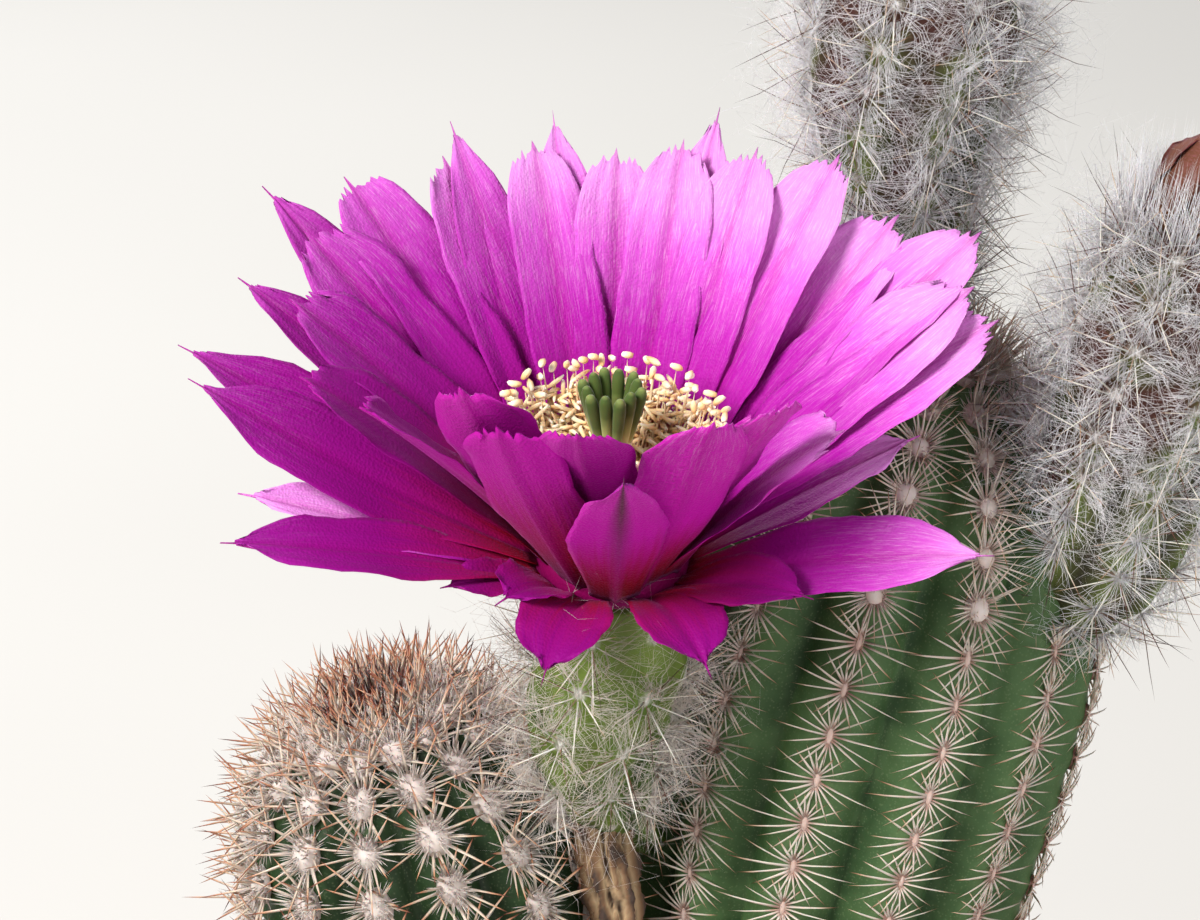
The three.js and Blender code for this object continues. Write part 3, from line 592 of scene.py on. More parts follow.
# %% Strands round the lines
def strands(lines, foot_radius, draw):
    """Tapering closed tubes with three sides round the lines."""
    sides = 3
    count, points, _ = lines.shape
    run = unit(lines[:, -1] - lines[:, 0])
    helper = np.where(np.abs(run[:, 2:]) < 0.9, [[0.0, 0, 1]], [[1.0, 0, 0]])
    across = unit(np.cross(run, helper))
    second = np.cross(run, across)
    turns = TURN * np.arange(sides) / sides
    ring = across[:, None] * np.cos(turns)[:, None] + second[:, None] * np.sin(turns)[:, None]
    along = np.linspace(0, 1, points)
    taper = foot_radius * (1 - 0.72 * along[:-1] ** 1.3)
    scale = 0.8 + 0.4 * draw.random(count)
    radii = (scale[:, None] * taper)[:, :, None, None]
    tubes = lines[:, :-1, None, :] + radii * ring[:, None]
    body = np.concatenate([tubes.reshape(count, -1, 3), lines[:, -1:]], axis=1)
    size = body.shape[1]
    pattern = grid_faces(points - 1, sides)
    pattern_tip = [[size - 1 - sides + k, size - 1 - sides + (k + 1) % sides, size - 1]
                   for k in range(sides)]
    pattern_foot = list(range(sides))[::-1]
    starts = (np.arange(count) * size)[:, None, None]
    faces = (np.array(pattern) + starts).reshape(-1, 4).tolist()
    faces += (np.array(pattern_tip) + starts).reshape(-1, 3).tolist()
    faces += (np.array([pattern_foot]) + starts).reshape(-1, sides).tolist()
    up_strand = np.append(np.repeat(along[:-1], sides), 1)
    numbers = {"along": np.tile(up_strand, count), "tone": np.repeat(draw.random(count), size)}
    return body.reshape(-1, 3), faces, numbers


def fanned(areoles, count, draw, foot_radius, **fan):
    """Strands in fans over the areoles."""
    return strands(fan_lines(areoles, count, draw, **fan), foot_radius, draw)


# %% [markdown]
# ### Spine and wool finishes
#
# A spine is dead, horny tissue that was laid down from the tip, so its colour is a record of its
# youth: dark at the point and cream at the foot. It is harder and smoother than the skin, and
# has a dull gleam. Wool and felt are dead hairs full of air. They scatter almost all light, so
# they are white to greyish and have a soft sheen but no highlights.

# %% Strand finishes
def strand_finish(name, stops, roughness, sheen=0.0, let_through=0.0):
    """A colour that follows the strand from foot to tip, shifted a little from one to the next."""
    material, add, place, along, tone = start_finish(name, "along", "tone")
    shift = add("MapRange", {"Value": tone, "To Min": -0.14, "To Max": 0.14})
    shifted = add("Math", {0: along, 1: shift}, operation="ADD")
    ramp = add("ValToRGB", {"Fac": shifted}, stops=stops)
    grain = add("TexNoise", {"Vector": place, "Scale": cells_of(1.111), "Detail": 3.0})
    value = add("MapRange", {"Value": grain, "To Min": 0.82, "To Max": 1.14})
    colour = add("HueSaturation", {"Color": ramp, "Value": value})
    shader = add("BsdfPrincipled", {"Base Color": colour, "Roughness": roughness, "Sheen Weight": sheen,
                 "Sheen Roughness": 0.4, "Subsurface Weight": 0.15, "Subsurface Scale": 0.0006})
    glow = add("BsdfTranslucent", {"Color": colour})
    blend = add("MixShader", {"Fac": let_through, 1: shader, 2: glow})
    add("OutputMaterial", {"Surface": blend})
    return material


main_spine = strand_finish("cream_horn_spine", [(0.0, "b8978a"), (0.18, "dacdc2"), (0.62, "dccfc3"),
                           (0.84, "bb9a80"), (0.97, "845840"), (1.0, "6a4436")], roughness=0.5,
                           let_through=0.15)
offset_spine = strand_finish("amber_horn_spine", [(0.0, "dacec4"), (0.5, "d8c8b6"), (0.7, "c89878"),
                             (0.86, "88503a"), (0.95, "4a2820"), (1.0, "2c1814")], roughness=0.45,
                             let_through=0.15)
white_wool = strand_finish("soft_white_wool", [(0.0, "d2c4bc"), (0.5, "dfd2cb"), (1.0, "eae0da")],
                           roughness=0.75, sheen=0.4, let_through=0.28)
bud_wool = strand_finish("silky_bud_wool", [(0.0, "e6e2e5"), (0.5, "f4f2f5"), (1.0, "fdfcfe")],
                         roughness=0.7, sheen=0.3, let_through=0.38)
young_wool = strand_finish("pinkish_young_wool", [(0.0, "e6c6bc"), (0.5, "f2ddd4"), (1.0, "fcf2ec")],
                           roughness=0.75, sheen=0.4, let_through=0.35)
pink_felt = strand_finish("pinkish_felt", [(0.0, "8c5f54"), (0.5, "b38f84"), (1.0, "d0b8ae")],
                          roughness=0.85, sheen=0.3, let_through=0.1)
dark_bristle = strand_finish("black_brown_bristle", [(0.0, "b79c86"), (0.18, "6b4636"), (0.5, "3a2420"),
                             (1.0, "1e1412")], roughness=0.4)
cream_bristle = strand_finish("cream_bristle", [(0.0, "f4f0ea"), (0.6, "f2ebe0"), (0.85, "c29c7c"),
                              (1.0, "7a5040")], roughness=0.4, let_through=0.2)
crown_spine = strand_finish("young_dark_spine", [(0.0, "c47c3c"), (0.25, "7c3a1a"), (0.5, "3c1c12"),
                            (1.0, "140c0a")], roughness=0.45)


# %% [markdown]
# ### Felted cushions
#
# Between the feet of its spines every areole is a low oval pad of felt. On the main stem the
# pads are narrow and pinkish brown. On the offset they are young, so they are large, round and
# white. Each pad is a small dome, and short hairs on it break up its edge.

# %% Cushions
def cushions(areoles, half_width, half_length, height, draw, sides=10):
    """One low dome on each areole, as points, faces and numbers."""
    count = len(areoles["seat"])
    seat, normal, rise, side = (areoles[key][:, None, :] for key in ("seat", "normal", "rise", "side"))
    levels = np.array([0.0, 0.35, 0.72])
    turns = TURN * np.arange(sides) / sides
    swell = (0.85 + 0.3 * draw.random((count, 1)))[..., None]
    rings = []
    for level in levels:
        spread = math.sqrt(1 - level**2)
        wobble = 1 + 0.16 * (draw.random((count, sides, 1)) - 0.5)
        flat = side * half_width * np.cos(turns)[:, None] + rise * half_length * np.sin(turns)[:, None]
        rings.append(seat + swell * (flat * spread * wobble + normal * (height * level - 0.25)))
    top = seat + normal * (height - 0.2) * swell
    bottom = seat - normal * 0.6
    body = np.concatenate([*rings, bottom, top], axis=1)
    size = body.shape[1]
    pattern = capped_faces(len(levels), sides)
    faces = [[start + i for i in face] for start in range(0, count * size, size) for face in pattern]
    up = np.concatenate([np.repeat(levels, sides), [0, 1]])
    return body.reshape(-1, 3), faces, {"along": np.tile(up, count),
                                        "tone": np.repeat(draw.random(count), size)}


def chosen(areoles, mask):
    """Some of the areoles."""
    return {key: values[mask] for key, values in areoles.items()}


def parted(areoles, share):
    """The areoles below a share of the body's profile, and those above it."""
    below = areoles["share"][:, 0] < share
    return chosen(areoles, below), chosen(areoles, ~below)


def grow(name, parts, finish):
    """Makes one piece of several forms."""
    make_piece(name, gathered(parts), finish)


# %% Felt and wool of the main stem
YOUNG_FROM = 0.74
draw = np.random.default_rng(3)
old, young = parted(main_areoles, YOUNG_FROM)
fuzz = fan_lines(old, 8, draw, length=0.8, stand=(5, 60), cushion=(0.4, 1.1), points=3, even=False)
young_fuzz = fan_lines(young, 70, draw, length=2.2, stand=(5, 80), cushion=(1.2, 1.5), points=3,
                       even=False)
grow("main_stem_felt", [cushions(old, half_width=0.5, half_length=1.35, height=0.65, draw=draw),
     strands(fuzz, 0.05, draw)], pink_felt)
grow("main_stem_wool", [cushions(young, half_width=1.3, half_length=1.5, height=1.2, draw=draw),
     strands(young_fuzz, 0.07, draw)], young_wool)

# %% [markdown]
# ### Spines of the main stem
#
# This species is combed: each areole spreads about twenty spines flat over the skin like the
# teeth of two combs, longest to the sides, so that neighbouring ribs almost touch. Near the
# crown the ribs draw together and the young spines stand up in a brush, and at the growing point
# itself they close over the wool. The brush is packed by the golden angle, as plants do it.

# %% Lines on a crown
GOLDEN_ANGLE = math.pi * (3 - math.sqrt(5))


def crown_brush(body, count, spread, length, draw, hole=0.0, splay=0.5):
    """Lines that stand on the end of a body in a disc or ring, and splay out towards its edge."""
    centre, right, back, up = (row[0] for row in body.frame(np.array([body.length])))
    turn = np.arange(count) * GOLDEN_ANGLE
    away = np.sqrt(hole**2 + (spread**2 - hole**2) * (np.arange(count) + 0.5) / count)
    out = right * np.cos(turn)[:, None] + back * np.sin(turn)[:, None]
    foot = centre + out * away[:, None] - up * 1.2
    lean = (0.1 + splay * away / spread + 0.35 * (draw.random(count) - 0.5))[:, None]
    heading = unit(up + out * lean + 0.25 * (draw.random((count, 3)) - 0.5))
    reach = (length * (0.75 + 0.45 * draw.random(count)))[:, None]
    t = np.linspace(0, 1, 4)[None, :, None]
    return foot[:, None] + (heading * reach)[:, None] * t


# %% Main stem spines
TOP_FROM = 0.93
draw = np.random.default_rng(5)
combed = fanned(old, 20, draw, 0.155, length=6.9, stand=(6, 17), cushion=(0.3, 0.9), droop=0.16,
                shorter_up=0.15, shorter_along=0.5)
rim, top = parted(young, TOP_FROM)
rim_spines = fanned(rim, 28, draw, 0.15, length=5.6, stand=(10, 40), cushion=(0.5, 0.9))
top_spines = fanned(top, 14, draw, 0.17, length=5.8, stand=(50, 85), cushion=(0.4, 0.6))
brush = strands(crown_brush(MAIN, 60, spread=4.5, length=6.0, draw=draw), 0.17, draw)
grow("main_stem_spines", [combed, rim_spines, top_spines, brush], main_spine)

# %% [markdown]
# ### Wool and spines of the offset
#
# The offset grew this season. Its areoles are big tufts of white wool, and its spines are
# stouter, cream at the foot and amber to nearly black at the point. They stand well off the
# skin, and at the crown they close into a dark tuft.

# %% Offset wool
draw = np.random.default_rng(9)
tufts = fan_lines(offset_areoles, 56, draw, length=2.6, stand=(4, 64), cushion=(1.7, 2.0), points=3,
                  even=False)
tops = fan_lines(offset_areoles, 46, draw, length=1.5, stand=(25, 90), cushion=(1.4, 1.7), points=3,
                 even=False, lift=1.2)
cover = crown_brush(OFFSET, 620, spread=7.0, length=3.6, draw=draw)
pads = cushions(offset_areoles, half_width=1.8, half_length=2.2, height=1.6, draw=draw)
grow("offset_stem_wool", [pads, strands(tufts, 0.085, draw), strands(tops, 0.085, draw),
     strands(cover, 0.09, draw)], white_wool)

# %% Offset spines
UPPER_FROM, CROWN_FROM = 0.7, 0.95
lower, rest = parted(offset_areoles, UPPER_FROM)
upper, crown = parted(rest, CROWN_FROM)
lower_spines = fanned(lower, 15, draw, 0.2, length=6.8, stand=(12, 42), cushion=(0.9, 1.4), droop=0.08)
lower_centrals = fanned(lower, 3, draw, 0.2, length=7.4, stand=(45, 75), cushion=(0.4, 0.6))
upper_spines = fanned(upper, 15, draw, 0.2, length=6.4, stand=(22, 66), cushion=(1.2, 1.4))
crown_spines = fanned(crown, 12, draw, 0.19, length=5.8, stand=(40, 80), cushion=(1.0, 0.8), lean=0.2)
grow("offset_stem_spines", [lower_spines, lower_centrals, upper_spines, crown_spines], offset_spine)
tuft = strands(crown_brush(OFFSET, 110, spread=3.2, length=6.0, draw=draw), 0.18, draw)
grow("offset_stem_crown", [tuft], crown_spine)


# %% [markdown]
# ## Floral tube and buds
#
# The flower and its buds stand on short green tubes. They are bearded: every areole on them has
# a lock of long silky wool, some cream bristles and a few nearly black ones that are longer
# than the rest. The wool is laid in loose waves and leans towards the tip, as fur does.

# %% Bearded tubes
BUD_PLAN = {**TUBE_PLAN, "rows": 11, "rings": 70}
SHORT_BUD_PLAN = {**TUBE_PLAN, "rows": 10, "rings": 64}
LOCKS_FROM = 0.42


def bearded_tube(name, body, plan, skin, neighbours, hairs, seed, lowest=0, highest=999,
                 collar_hairs=500, wool_finish=bud_wool):
    """A tube with hairs on each areole between two heights, and collar_hairs round its tip."""
    draw = np.random.default_rng(seed)
    make_piece(name + "_skin", ribbed_skin(body, plan), skin, name)
    areoles = find_areoles(body, plan, neighbours, clearance=0.5)
    height = areoles["seat"][:, 2]
    areoles = chosen(areoles, (height > lowest) & (height < highest))
    low, high = parted(areoles, LOCKS_FROM)
    stars = fan_lines(low, int(0.7 * hairs), draw, length=5.8, stand=(2, 38), cushion=(0.35, 0.4),
                      lean=0.2, curl=0.1, even=False)
    locks = fan_lines(high, hairs, draw, length=6.0, stand=(2, 50), cushion=(1.5, 1.7), lean=0.25,
                      curl=0.34, locks=12)
    veil = fan_lines(high, hairs // 3, draw, length=8.5, stand=(2, 34), cushion=(2.9, 2.6), points=6,
                     lean=0.2, curl=0.5, even=False, lift=0.5)
    wool = [strands(stars, 0.038, draw), strands(locks, 0.037, draw), strands(veil, 0.026, draw)]
    if collar_hairs:
        collar = crown_brush(body, collar_hairs, spread=8.0, length=9.0, draw=draw, hole=5.2,
                             splay=-0.1)
        wool.append(strands(collar, 0.045, draw))
    grow(name + "_wool", wool, wool_finish)
    pale = fanned(areoles, 7, draw, 0.1, length=7.4, stand=(14, 50), cushion=(0.6, 0.8), lean=0.25)
    grow(name + "_bristles", [pale], cream_bristle)
    dark = fanned(areoles, 3, draw, 0.07, length=9.0, stand=(20, 62), cushion=(0.5, 0.5), lean=0.4,
                  curl=0.02)
    grow(name + "_dark_bristles", [dark], dark_bristle)


# %% Grow the tubes
# The tube takes the greyer wool of the offset, which stands partly for the flower's shade over it.
bearded_tube("flower_tube", TUBE, TUBE_PLAN, shaded_tube_skin, [MAIN, OFFSET], hairs=64, seed=13, lowest=135,
             highest=161, collar_hairs=0, wool_finish=white_wool)
bearded_tube("crown_bud", CROWN_BUD, BUD_PLAN, bud_skin, [MAIN], hairs=96, seed=17)
bearded_tube("side_bud", SIDE_BUD, SHORT_BUD_PLAN, bud_skin, [MAIN], hairs=96, seed=19)


# %% [markdown]
# ## Tepals
#
# A cactus has no clear line between sepals and petals, so its petals are called tepals. The
# inner ones widen upwards and end in fine teeth with a drawn-out point, and the outer ones are
# narrower and plain. Each blade here is a curved sheet with a little thickness, swept along its
# midrib from the ring on which it grows. A cloth or a subdivided plane would give one shape for
# all, and these are all different: the list gives each its turn round the flower, its rise
# above the base plane, its length, its greatest width, the degrees by which it bends out, and
# those by which it rolls about its midrib. Two of them are singled out by their turn: the
# pointed one at the front has a brown midrib, and the one at the left is given the palest
# colour, which is a painted sheen.

# %% Lists of tepals
FLOWER_FOOT = np.array([0.2, -18.5, 168])
NOD = math.radians(10)
RING_RADIUS = 6.5
WHORL_STEP = 1.2

INNER_TEPALS = [
    (262, 58, 34, 9.6, 12, 0), (292, 59, 34, 10.2, -6, -12), (311, 57, 34, 10.5, 0, -6),
    (330, 51, 28, 10.0, 16, 16), (10, 35, 39, 10.0, 10, 26), (15, 40, 38, 10.0, 10, 18),
    (22, 40, 43, 9.5, 8, 14), (34, 45, 38, 9.5, 10, 8), (46, 50, 41, 9.0, 8, 6),
    (60, 55, 38, 8.5, 8, 6), (75, 55, 38, 8.5, 6, 6), (89, 55, 36, 8.5, 6, 6),
    (106, 53, 38, 8.5, 8, 6), (122, 50, 38, 9.5, 10, -4), (139, 45, 41, 10.0, 12, -10),
    (152, 45, 38, 10.5, 12, -12), (170, 45, 36, 10.0, 14, -14), (188, 45, 32, 9.5, 16, -16),
    (208, 50, 32, 9.0, 10, 4), (243, 59, 32, 10.5, -10, 10), (233, 60, 35, 9.8, -4, 20)]
OUTER_TEPALS = [
    (70, 55, 41, 8.0, 8, 0), (101, 55, 40, 8.0, 6, 0), (119, 52, 41, 8.0, 8, 0),
    (132, 45, 34, 8.0, 14, -20), (146, 40, 44, 8.5, 8, -8), (157, 35, 39, 8.0, 12, -12),
    (166, 27, 40, 9.0, 6, -14), (179, 31, 38, 9.5, -8, -22), (187, 21, 30, 8.0, 4, -8),
    (199, 19, 33, 7.6, 8, -22), (272, 53, 34, 9.8, 2, 0), (339, 18, 32, 8.8, 10, 30),
    (322, 20, 17, 7.0, 26, 14), (8, 28, 25, 7.5, 6, 14), (251, 0, 13, 9.2, 66, 0),
    (297, 0, 13, 9.0, 64, 0), (228, 24, 9, 8.0, 50, 0), (208, 15, 11, 5.0, 20, -14),
    (46, 34, 31, 8.0, 14, 0), (88, 34, 31, 8.0, 12, 0), (120, 24, 27, 7.5, 22, 0),
    (66, 16, 22, 7.0, 30, 0)]
POINTED = 272
# The tepal at the left whose sheen is painted into its colour.
PAINTED_SHEEN_TEPAL = 187
SMALL_TEPAL = 20
LEVEL_RISE = 30


# %% Shape of one tepal
def in_flower(form):
    """Moves a form from the flower's own frame, whose +Z is its axis, to the plant's."""
    points, faces, numbers = form
    x, y, z = np.asarray(points, float).T
    nodded = [x, y * math.cos(NOD) - z * math.sin(NOD), y * math.sin(NOD) + z * math.cos(NOD)]
    return np.stack(nodded, -1) + FLOWER_FOOT, faces, numbers


def blade(tepal, ring_radius, ring_lift, toothed, draw, rows=27, columns=19):
    """Points, faces and numbers of one tepal in the flower's frame."""
    turn, rise, length, width, curl, roll = tepal
    widest, end_angle, bend = (0.62, 54, 1.9) if toothed else (0.55, 80, 1.3)
    if turn == POINTED:
        widest, end_angle, bend = 0.5, 87, 0.95
    turn = math.radians(turn)
    roll = np.radians(roll + 12 * (draw.random() - 0.5))
    # The midrib bends evenly from foot to tip, and the blade rolls about it.
    shares = np.linspace(0, 1, rows)
    even = np.linspace(-1, 1, columns)
    across = np.sign(even) * np.abs(even) ** 1.1
    up = np.array([0.0, 0, 1])
    out = np.array([math.cos(turn), math.sin(turn), 0])
    level = np.cross(up, out)
    slope = np.radians(rise + curl * (0.5 - shares))[:, None]
    along = out * np.cos(slope) + up * np.sin(slope)
    middles = 0.5 * (along[1:] + along[:-1]) * length / (rows - 1)
    midrib = out * ring_radius + up * ring_lift + np.vstack([np.zeros(3), np.cumsum(middles, axis=0)])
    rolled = (roll * np.minimum(1, 2.5 * shares))[:, None]
    flat = up * np.cos(slope) - out * np.sin(slope)
    sideways = level * np.cos(rolled) + flat * np.sin(rolled)
    normal = flat * np.cos(rolled) - level * np.sin(rolled)

    # The blade widens to its widest place and narrows from there to the tip.
    widening = 0.52 + 0.48 * np.sin(np.minimum(1, shares / widest) * math.pi / 2) ** 1.6
    narrowing = np.maximum(0, shares - widest) / (1 - widest)
    half = 0.5 * width * widening * np.cos(narrowing**bend * np.radians(end_angle))
    u = across[None, :]
    s = shares[:, None]
    nibbled = (0.05 * (draw.random((rows, 1)) - 0.5) + 0.03 * np.sin(17 * s)) * (s > 0.35)
    u = u * (1 + nibbled * np.abs(u) ** 6)
    # Fine teeth stand along the tip, with the drawn-out point in the middle.
    fall, point = (1.2, 1.4) if toothed else (1.4, 2.0)
    teeth = 1.1 * (draw.random(columns) - 0.5) + 0.25 * (-1.0) ** np.arange(columns)
    teeth *= 1 if toothed else 0.5
    teeth[columns // 2] = point
    teeth -= fall * np.abs(across) ** 2
    teeth *= min(1, width / 10)
    near_tip = np.clip((s - 0.84) / 0.16, 0, 1) ** 2
    # The section is cupped, creased along the midrib and rippled more and more towards the tip.
    cup = 0.15 * half[:, None] * (u**2 + 0.4 * np.abs(u))
    crease = -0.3 * np.exp(-((u / 0.13) ** 2)) * (1 - 0.6 * s)
    phases = TURN * draw.random(3)
    sways = (0.35 * np.sin(TURN * 2.3 * s + phases[0] + 1.5 * np.sign(u)) * np.abs(u) ** 3
             + 0.18 * np.sin(TURN * 5.1 * s + phases[2]) * np.abs(u) ** 5) * s
    ripple = 0.07 * np.sin(11 * u + phases[1]) * s
    height = cup + crease + sways + ripple
    sheet = (midrib[:, None] + sideways[:, None] * (half[:, None] * u)[..., None]
             + normal[:, None] * height[..., None] + along[:, None] * (teeth * near_tip)[..., None])
    # Two sheets, thinner towards the tip and the edges, are joined along their rim.
    thickness = (0.22 - 0.12 * s) * np.sqrt(np.maximum(0.02, 1.02 - u**2))
    inner = sheet + normal[:, None] * thickness[..., None]
    outer = sheet - normal[:, None] * thickness[..., None]
    count = rows * columns
    faces = [face[::-1] for face in grid_faces(rows, columns, wrap=False)]
    faces += grid_faces(rows, columns, first=count, wrap=False)
    rim = [*range(columns), *range(2 * columns - 1, count, columns),
           *range(count - 2, count - columns - 1, -1), *range((rows - 2) * columns, 0, -columns)]
    for a, b in zip(rim, rim[1:] + rim[:1]):
        faces.append([a, b, b + count, a + count])
    both = np.vstack([inner.reshape(-1, 3), outer.reshape(-1, 3)])
    one = np.ones(count)
    brown_midrib = 1.0 if tepal[0] == POINTED else 0.0
    # How pale a blade is painted follows its turn: the blades at the right and back, which face the
    # light, are painted paler and those at the left darker. That is painted light and shade, with a
    # little random tone.
    painted_light_and_tone = 0.5 + 0.42 * math.cos(turn - math.radians(45)) + 0.16 * (draw.random() - 0.5)
    # The short bracts near the foot are deeper and darker: partly their own redder colour, partly
    # painted shade.
    if length < SMALL_TEPAL:
        painted_light_and_tone = -0.05
    # This tepal at the left is painted palest, as a painted sheen.
    if tepal[0] == PAINTED_SHEEN_TEPAL:
        painted_light_and_tone = 1.2
    numbers = {"along": np.tile(np.repeat(shares, columns), 2), "across": np.tile(across, 2 * rows),
               "inside": np.concatenate([one, 0 * one]), "tone": np.full(2 * count, draw.random()),
               "painted_light_and_tone": np.full(2 * count, painted_light_and_tone), "bract": np.full(2 * count, brown_midrib)}
    return both, faces, numbers


# %% [markdown]
# ### Tepal finish
#
# A petal's colour lies in its outer cells, over a layer of air that throws light back through
# them. That is why petals glow, and why the raised cells glitter like silk under a lamp. The
# inner face is the showy one, paler and pinker towards the tip. The blades at the right, which
# face the light, are painted paler and those at the left darker: that is painted light and
# painted shade, and only the lit blades reach the palest stops at the tip. Fine glints are
# painted into the colour towards the tips, too. The outer face is deeper, the foot of the blade
# runs to dark red, and thin veins follow its length, about a third of a millimetre apart. The
# gleam of the cells is pink, not white, and a little light is let through, so that a blade lit
# from behind still glows.

# %% Tepal finish
def tepal_finish(name, inner_stops, outer_stops, midrib, midrib_amount):
    """Stops from a blade's foot to its tip for both faces, and the colour along its midrib."""
    material, add, place, along, across, inside, tone, painted_light_and_tone, bract = start_finish(
        name, "along", "across", "inside", "tone", "painted_light_and_tone", "bract")
    on_blade = add("CombineXYZ", {"X": across, "Y": along, "Z": tone})
    stretched = add("Mapping", {"Vector": on_blade, "Scale": (14.0, 1.3, 40.0)})
    veins = add("TexNoise", {"Vector": stretched, "Scale": 1.0, "Detail": 5.0, "Roughness": 0.62})
    vein_shift = add("MapRange", {"Value": veins, "From Min": 0.3, "From Max": 0.7, "To Min": -0.045,
                     "To Max": 0.045})
    # How far up the ramp a blade reaches follows its painted light, so only the lit blades reach the
    # palest stops at the tip.
    painted_light_reach = add("Math", {0: painted_light_and_tone, 1: 0.85, 2: 0.4}, operation="MULTIPLY_ADD")
    spot = add("Math", {0: along, 1: painted_light_reach, 2: vein_shift}, operation="MULTIPLY_ADD")
    inner = add("ValToRGB", {"Fac": spot}, stops=inner_stops)
    outer = add("ValToRGB", {"Fac": spot}, stops=outer_stops)
    face = add("MixRGB", {"Fac": inside, "Color1": outer, "Color2": inner})
    from_midrib = add("Math", {0: across}, operation="ABSOLUTE")
    on_midrib = add("MapRange", {"Value": from_midrib, "From Max": 0.3, "To Min": midrib_amount,
                    "To Max": 0.0})
    ribbed = add("MixRGB", {"Fac": on_midrib, "Color1": face, "Color2": midrib})
    near_midrib = add("MapRange", {"Value": from_midrib, "From Min": 0.02, "From Max": 0.32,
                      "To Min": 0.85, "To Max": 0.0})
    towards_tip = add("MapRange", {"Value": along, "From Min": 0.2, "From Max": 0.8})
    brown = add("Math", {0: near_midrib, 1: towards_tip}, operation="MULTIPLY")
    brown_here = add("Math", {0: brown, 1: bract}, operation="MULTIPLY")
    tipped = add("MixRGB", {"Fac": brown_here, "Color1": ribbed, "Color2": "3e2a16"})
    # Painted glints: a fine noise mixes a pale pink into the colour towards the tips, most on the lit
    # blades at the right.
    fine = add("Mapping", {"Vector": on_blade, "Scale": (46.0, 16.0, 40.0)})
    painted_glint_noise = add("TexNoise", {"Vector": fine, "Scale": 1.0, "Detail": 3.0, "Roughness": 0.7})
    painted_glint = add("MapRange", {"Value": painted_glint_noise, "From Min": 0.5, "From Max": 0.72})
    painted_glint_amount = add("MapRange", {"Value": spot, "From Min": 0.4, "From Max": 1.0, "To Max": 0.52})
    painted_glint_here = add("Math", {0: painted_glint, 1: painted_glint_amount}, operation="MULTIPLY")
    with_painted_glints = add("MixRGB", {"Fac": painted_glint_here, "Color1": tipped, "Color2": "f6d8f4"})
    # Painted light and shade: the blades at the right are brightened and those at the left darkened.
    painted_shade_value = add("MapRange", {"Value": painted_light_and_tone, "To Min": 0.74, "To Max": 1.08})
    colour = add("HueSaturation", {"Color": with_painted_glints, "Value": painted_shade_value})
    cells = add("TexVoronoi", {"Vector": place, "Scale": cells_of(0.2941)})
    glitter = add("MapRange", {"Value": cells, "From Min": 0.1, "From Max": 0.7, "To Min": 0.3,
                  "To Max": 0.5})
    vein_relief = add("Bump", {"Height": veins, "Strength": 0.22, "Distance": 0.0005})
    relief = add("Bump", {"Height": cells, "Strength": 0.6, "Distance": 0.0001, "Normal": vein_relief})
    shader = add("BsdfPrincipled", {"Base Color": colour, "Roughness": glitter, "Normal": relief,
                 "IOR": 1.25, "Specular Tint": "ff94f2", "Sheen Weight": 0.12, "Sheen Roughness": 0.3,
                 "Sheen Tint": "ff9cf4"})
    glow = add("BsdfTranslucent", {"Color": colour, "Normal": vein_relief})
    blend = add("MixShader", {"Fac": 0.14, 1: shader, 2: glow})
    add("OutputMaterial", {"Surface": blend})
    return material


magenta = tepal_finish("silky_magenta_petal", [(0.02, "8c0812"), (0.06, "b0123c"), (0.14, "a8126a"),
                       (0.3, "980e86"), (0.58, "aa1ca2"), (0.82, "cc54c8"), (1.0, "dc8adc")],
                       [(0.02, "6c060a"), (0.08, "8c0a1c"), (0.17, "a20d58"), (0.33, "c412a8"),
                       (0.8, "cc26b4"), (1.0, "d458c8")], midrib="a00c84", midrib_amount=0.4)
bud_petal = tepal_finish("closed_bud_petal", [(0.0, "6a4a34"), (0.5, "a1505a"), (1.0, "c97a8c")],
                         [(0.0, "6a4a2a"), (0.4, "8a5648"), (1.0, "a26c66")], midrib="644030",
                         midrib_amount=0.4)

# %% Open flower
draw = np.random.default_rng(21)
blades = []
for i, tepal in enumerate(INNER_TEPALS):
    ring_radius = RING_RADIUS + WHORL_STEP * (i % 2 - 0.5)
    blades.append(blade(tepal, ring_radius, ring_lift=0.4, toothed=True, draw=draw))
for tepal in OUTER_TEPALS:
    ring_lift = -0.3 if tepal[1] > LEVEL_RISE else -0.9
    blades.append(blade(tepal, RING_RADIUS + WHORL_STEP, ring_lift, toothed=False, draw=draw))
make_piece("flower_tepals", in_flower(gathered(blades)), magenta, "flower_petals")


# %% [markdown]
# ## Receptacle, stamens and pistil
#
# The tepals grow from the rim of a small cup, the receptacle. Inside it stand some hundreds of
# stamens, each a thin filament with a bean of pollen on top, packed into a shallow bowl. The
# style rises through them and ends in a crown of velvety green lobes, which catch the pollen.
# Stamens are placed by the golden angle, which is how many plants pack parts evenly in a disc.

# %% Turned and rounded forms
def turned(outline, sides):
    """A closed body of revolution round +Z from (radius, height) points, foot to top."""
    outline = np.array(outline, float)
    turns = TURN * np.arange(sides) / sides
    rings = outline[1:-1, None, :1] * np.stack([np.cos(turns), np.sin(turns)], -1)
    heights = np.broadcast_to(outline[1:-1, None, 1:], (len(outline) - 2, sides, 1))
    points = np.concatenate([rings, heights], -1).reshape(-1, 3)
    faces = capped_faces(len(outline) - 2, sides)
    ends = [[0, 0, outline[0, 1]], [0, 0, outline[-1, 1]]]
    up = np.concatenate([np.repeat(np.linspace(0, 1, len(outline) - 2), sides), [0, 1]])
    return np.vstack([points, ends]), faces, {"along": up, "tone": np.full(len(up), 0.5)}


def posed(form, heading, foot):
    """Turns a form's +Z to a heading and moves its origin to the foot."""
    heading = heading / np.linalg.norm(heading)
    helper = np.array([1.0, 0, 0]) if abs(heading[0]) < 0.9 else np.array([0, 1.0, 0])
    side = unit(np.cross(helper, heading))
    basis = np.stack([side, np.cross(heading, side), heading])
    return form[0] @ basis + foot, form[1], form[2]


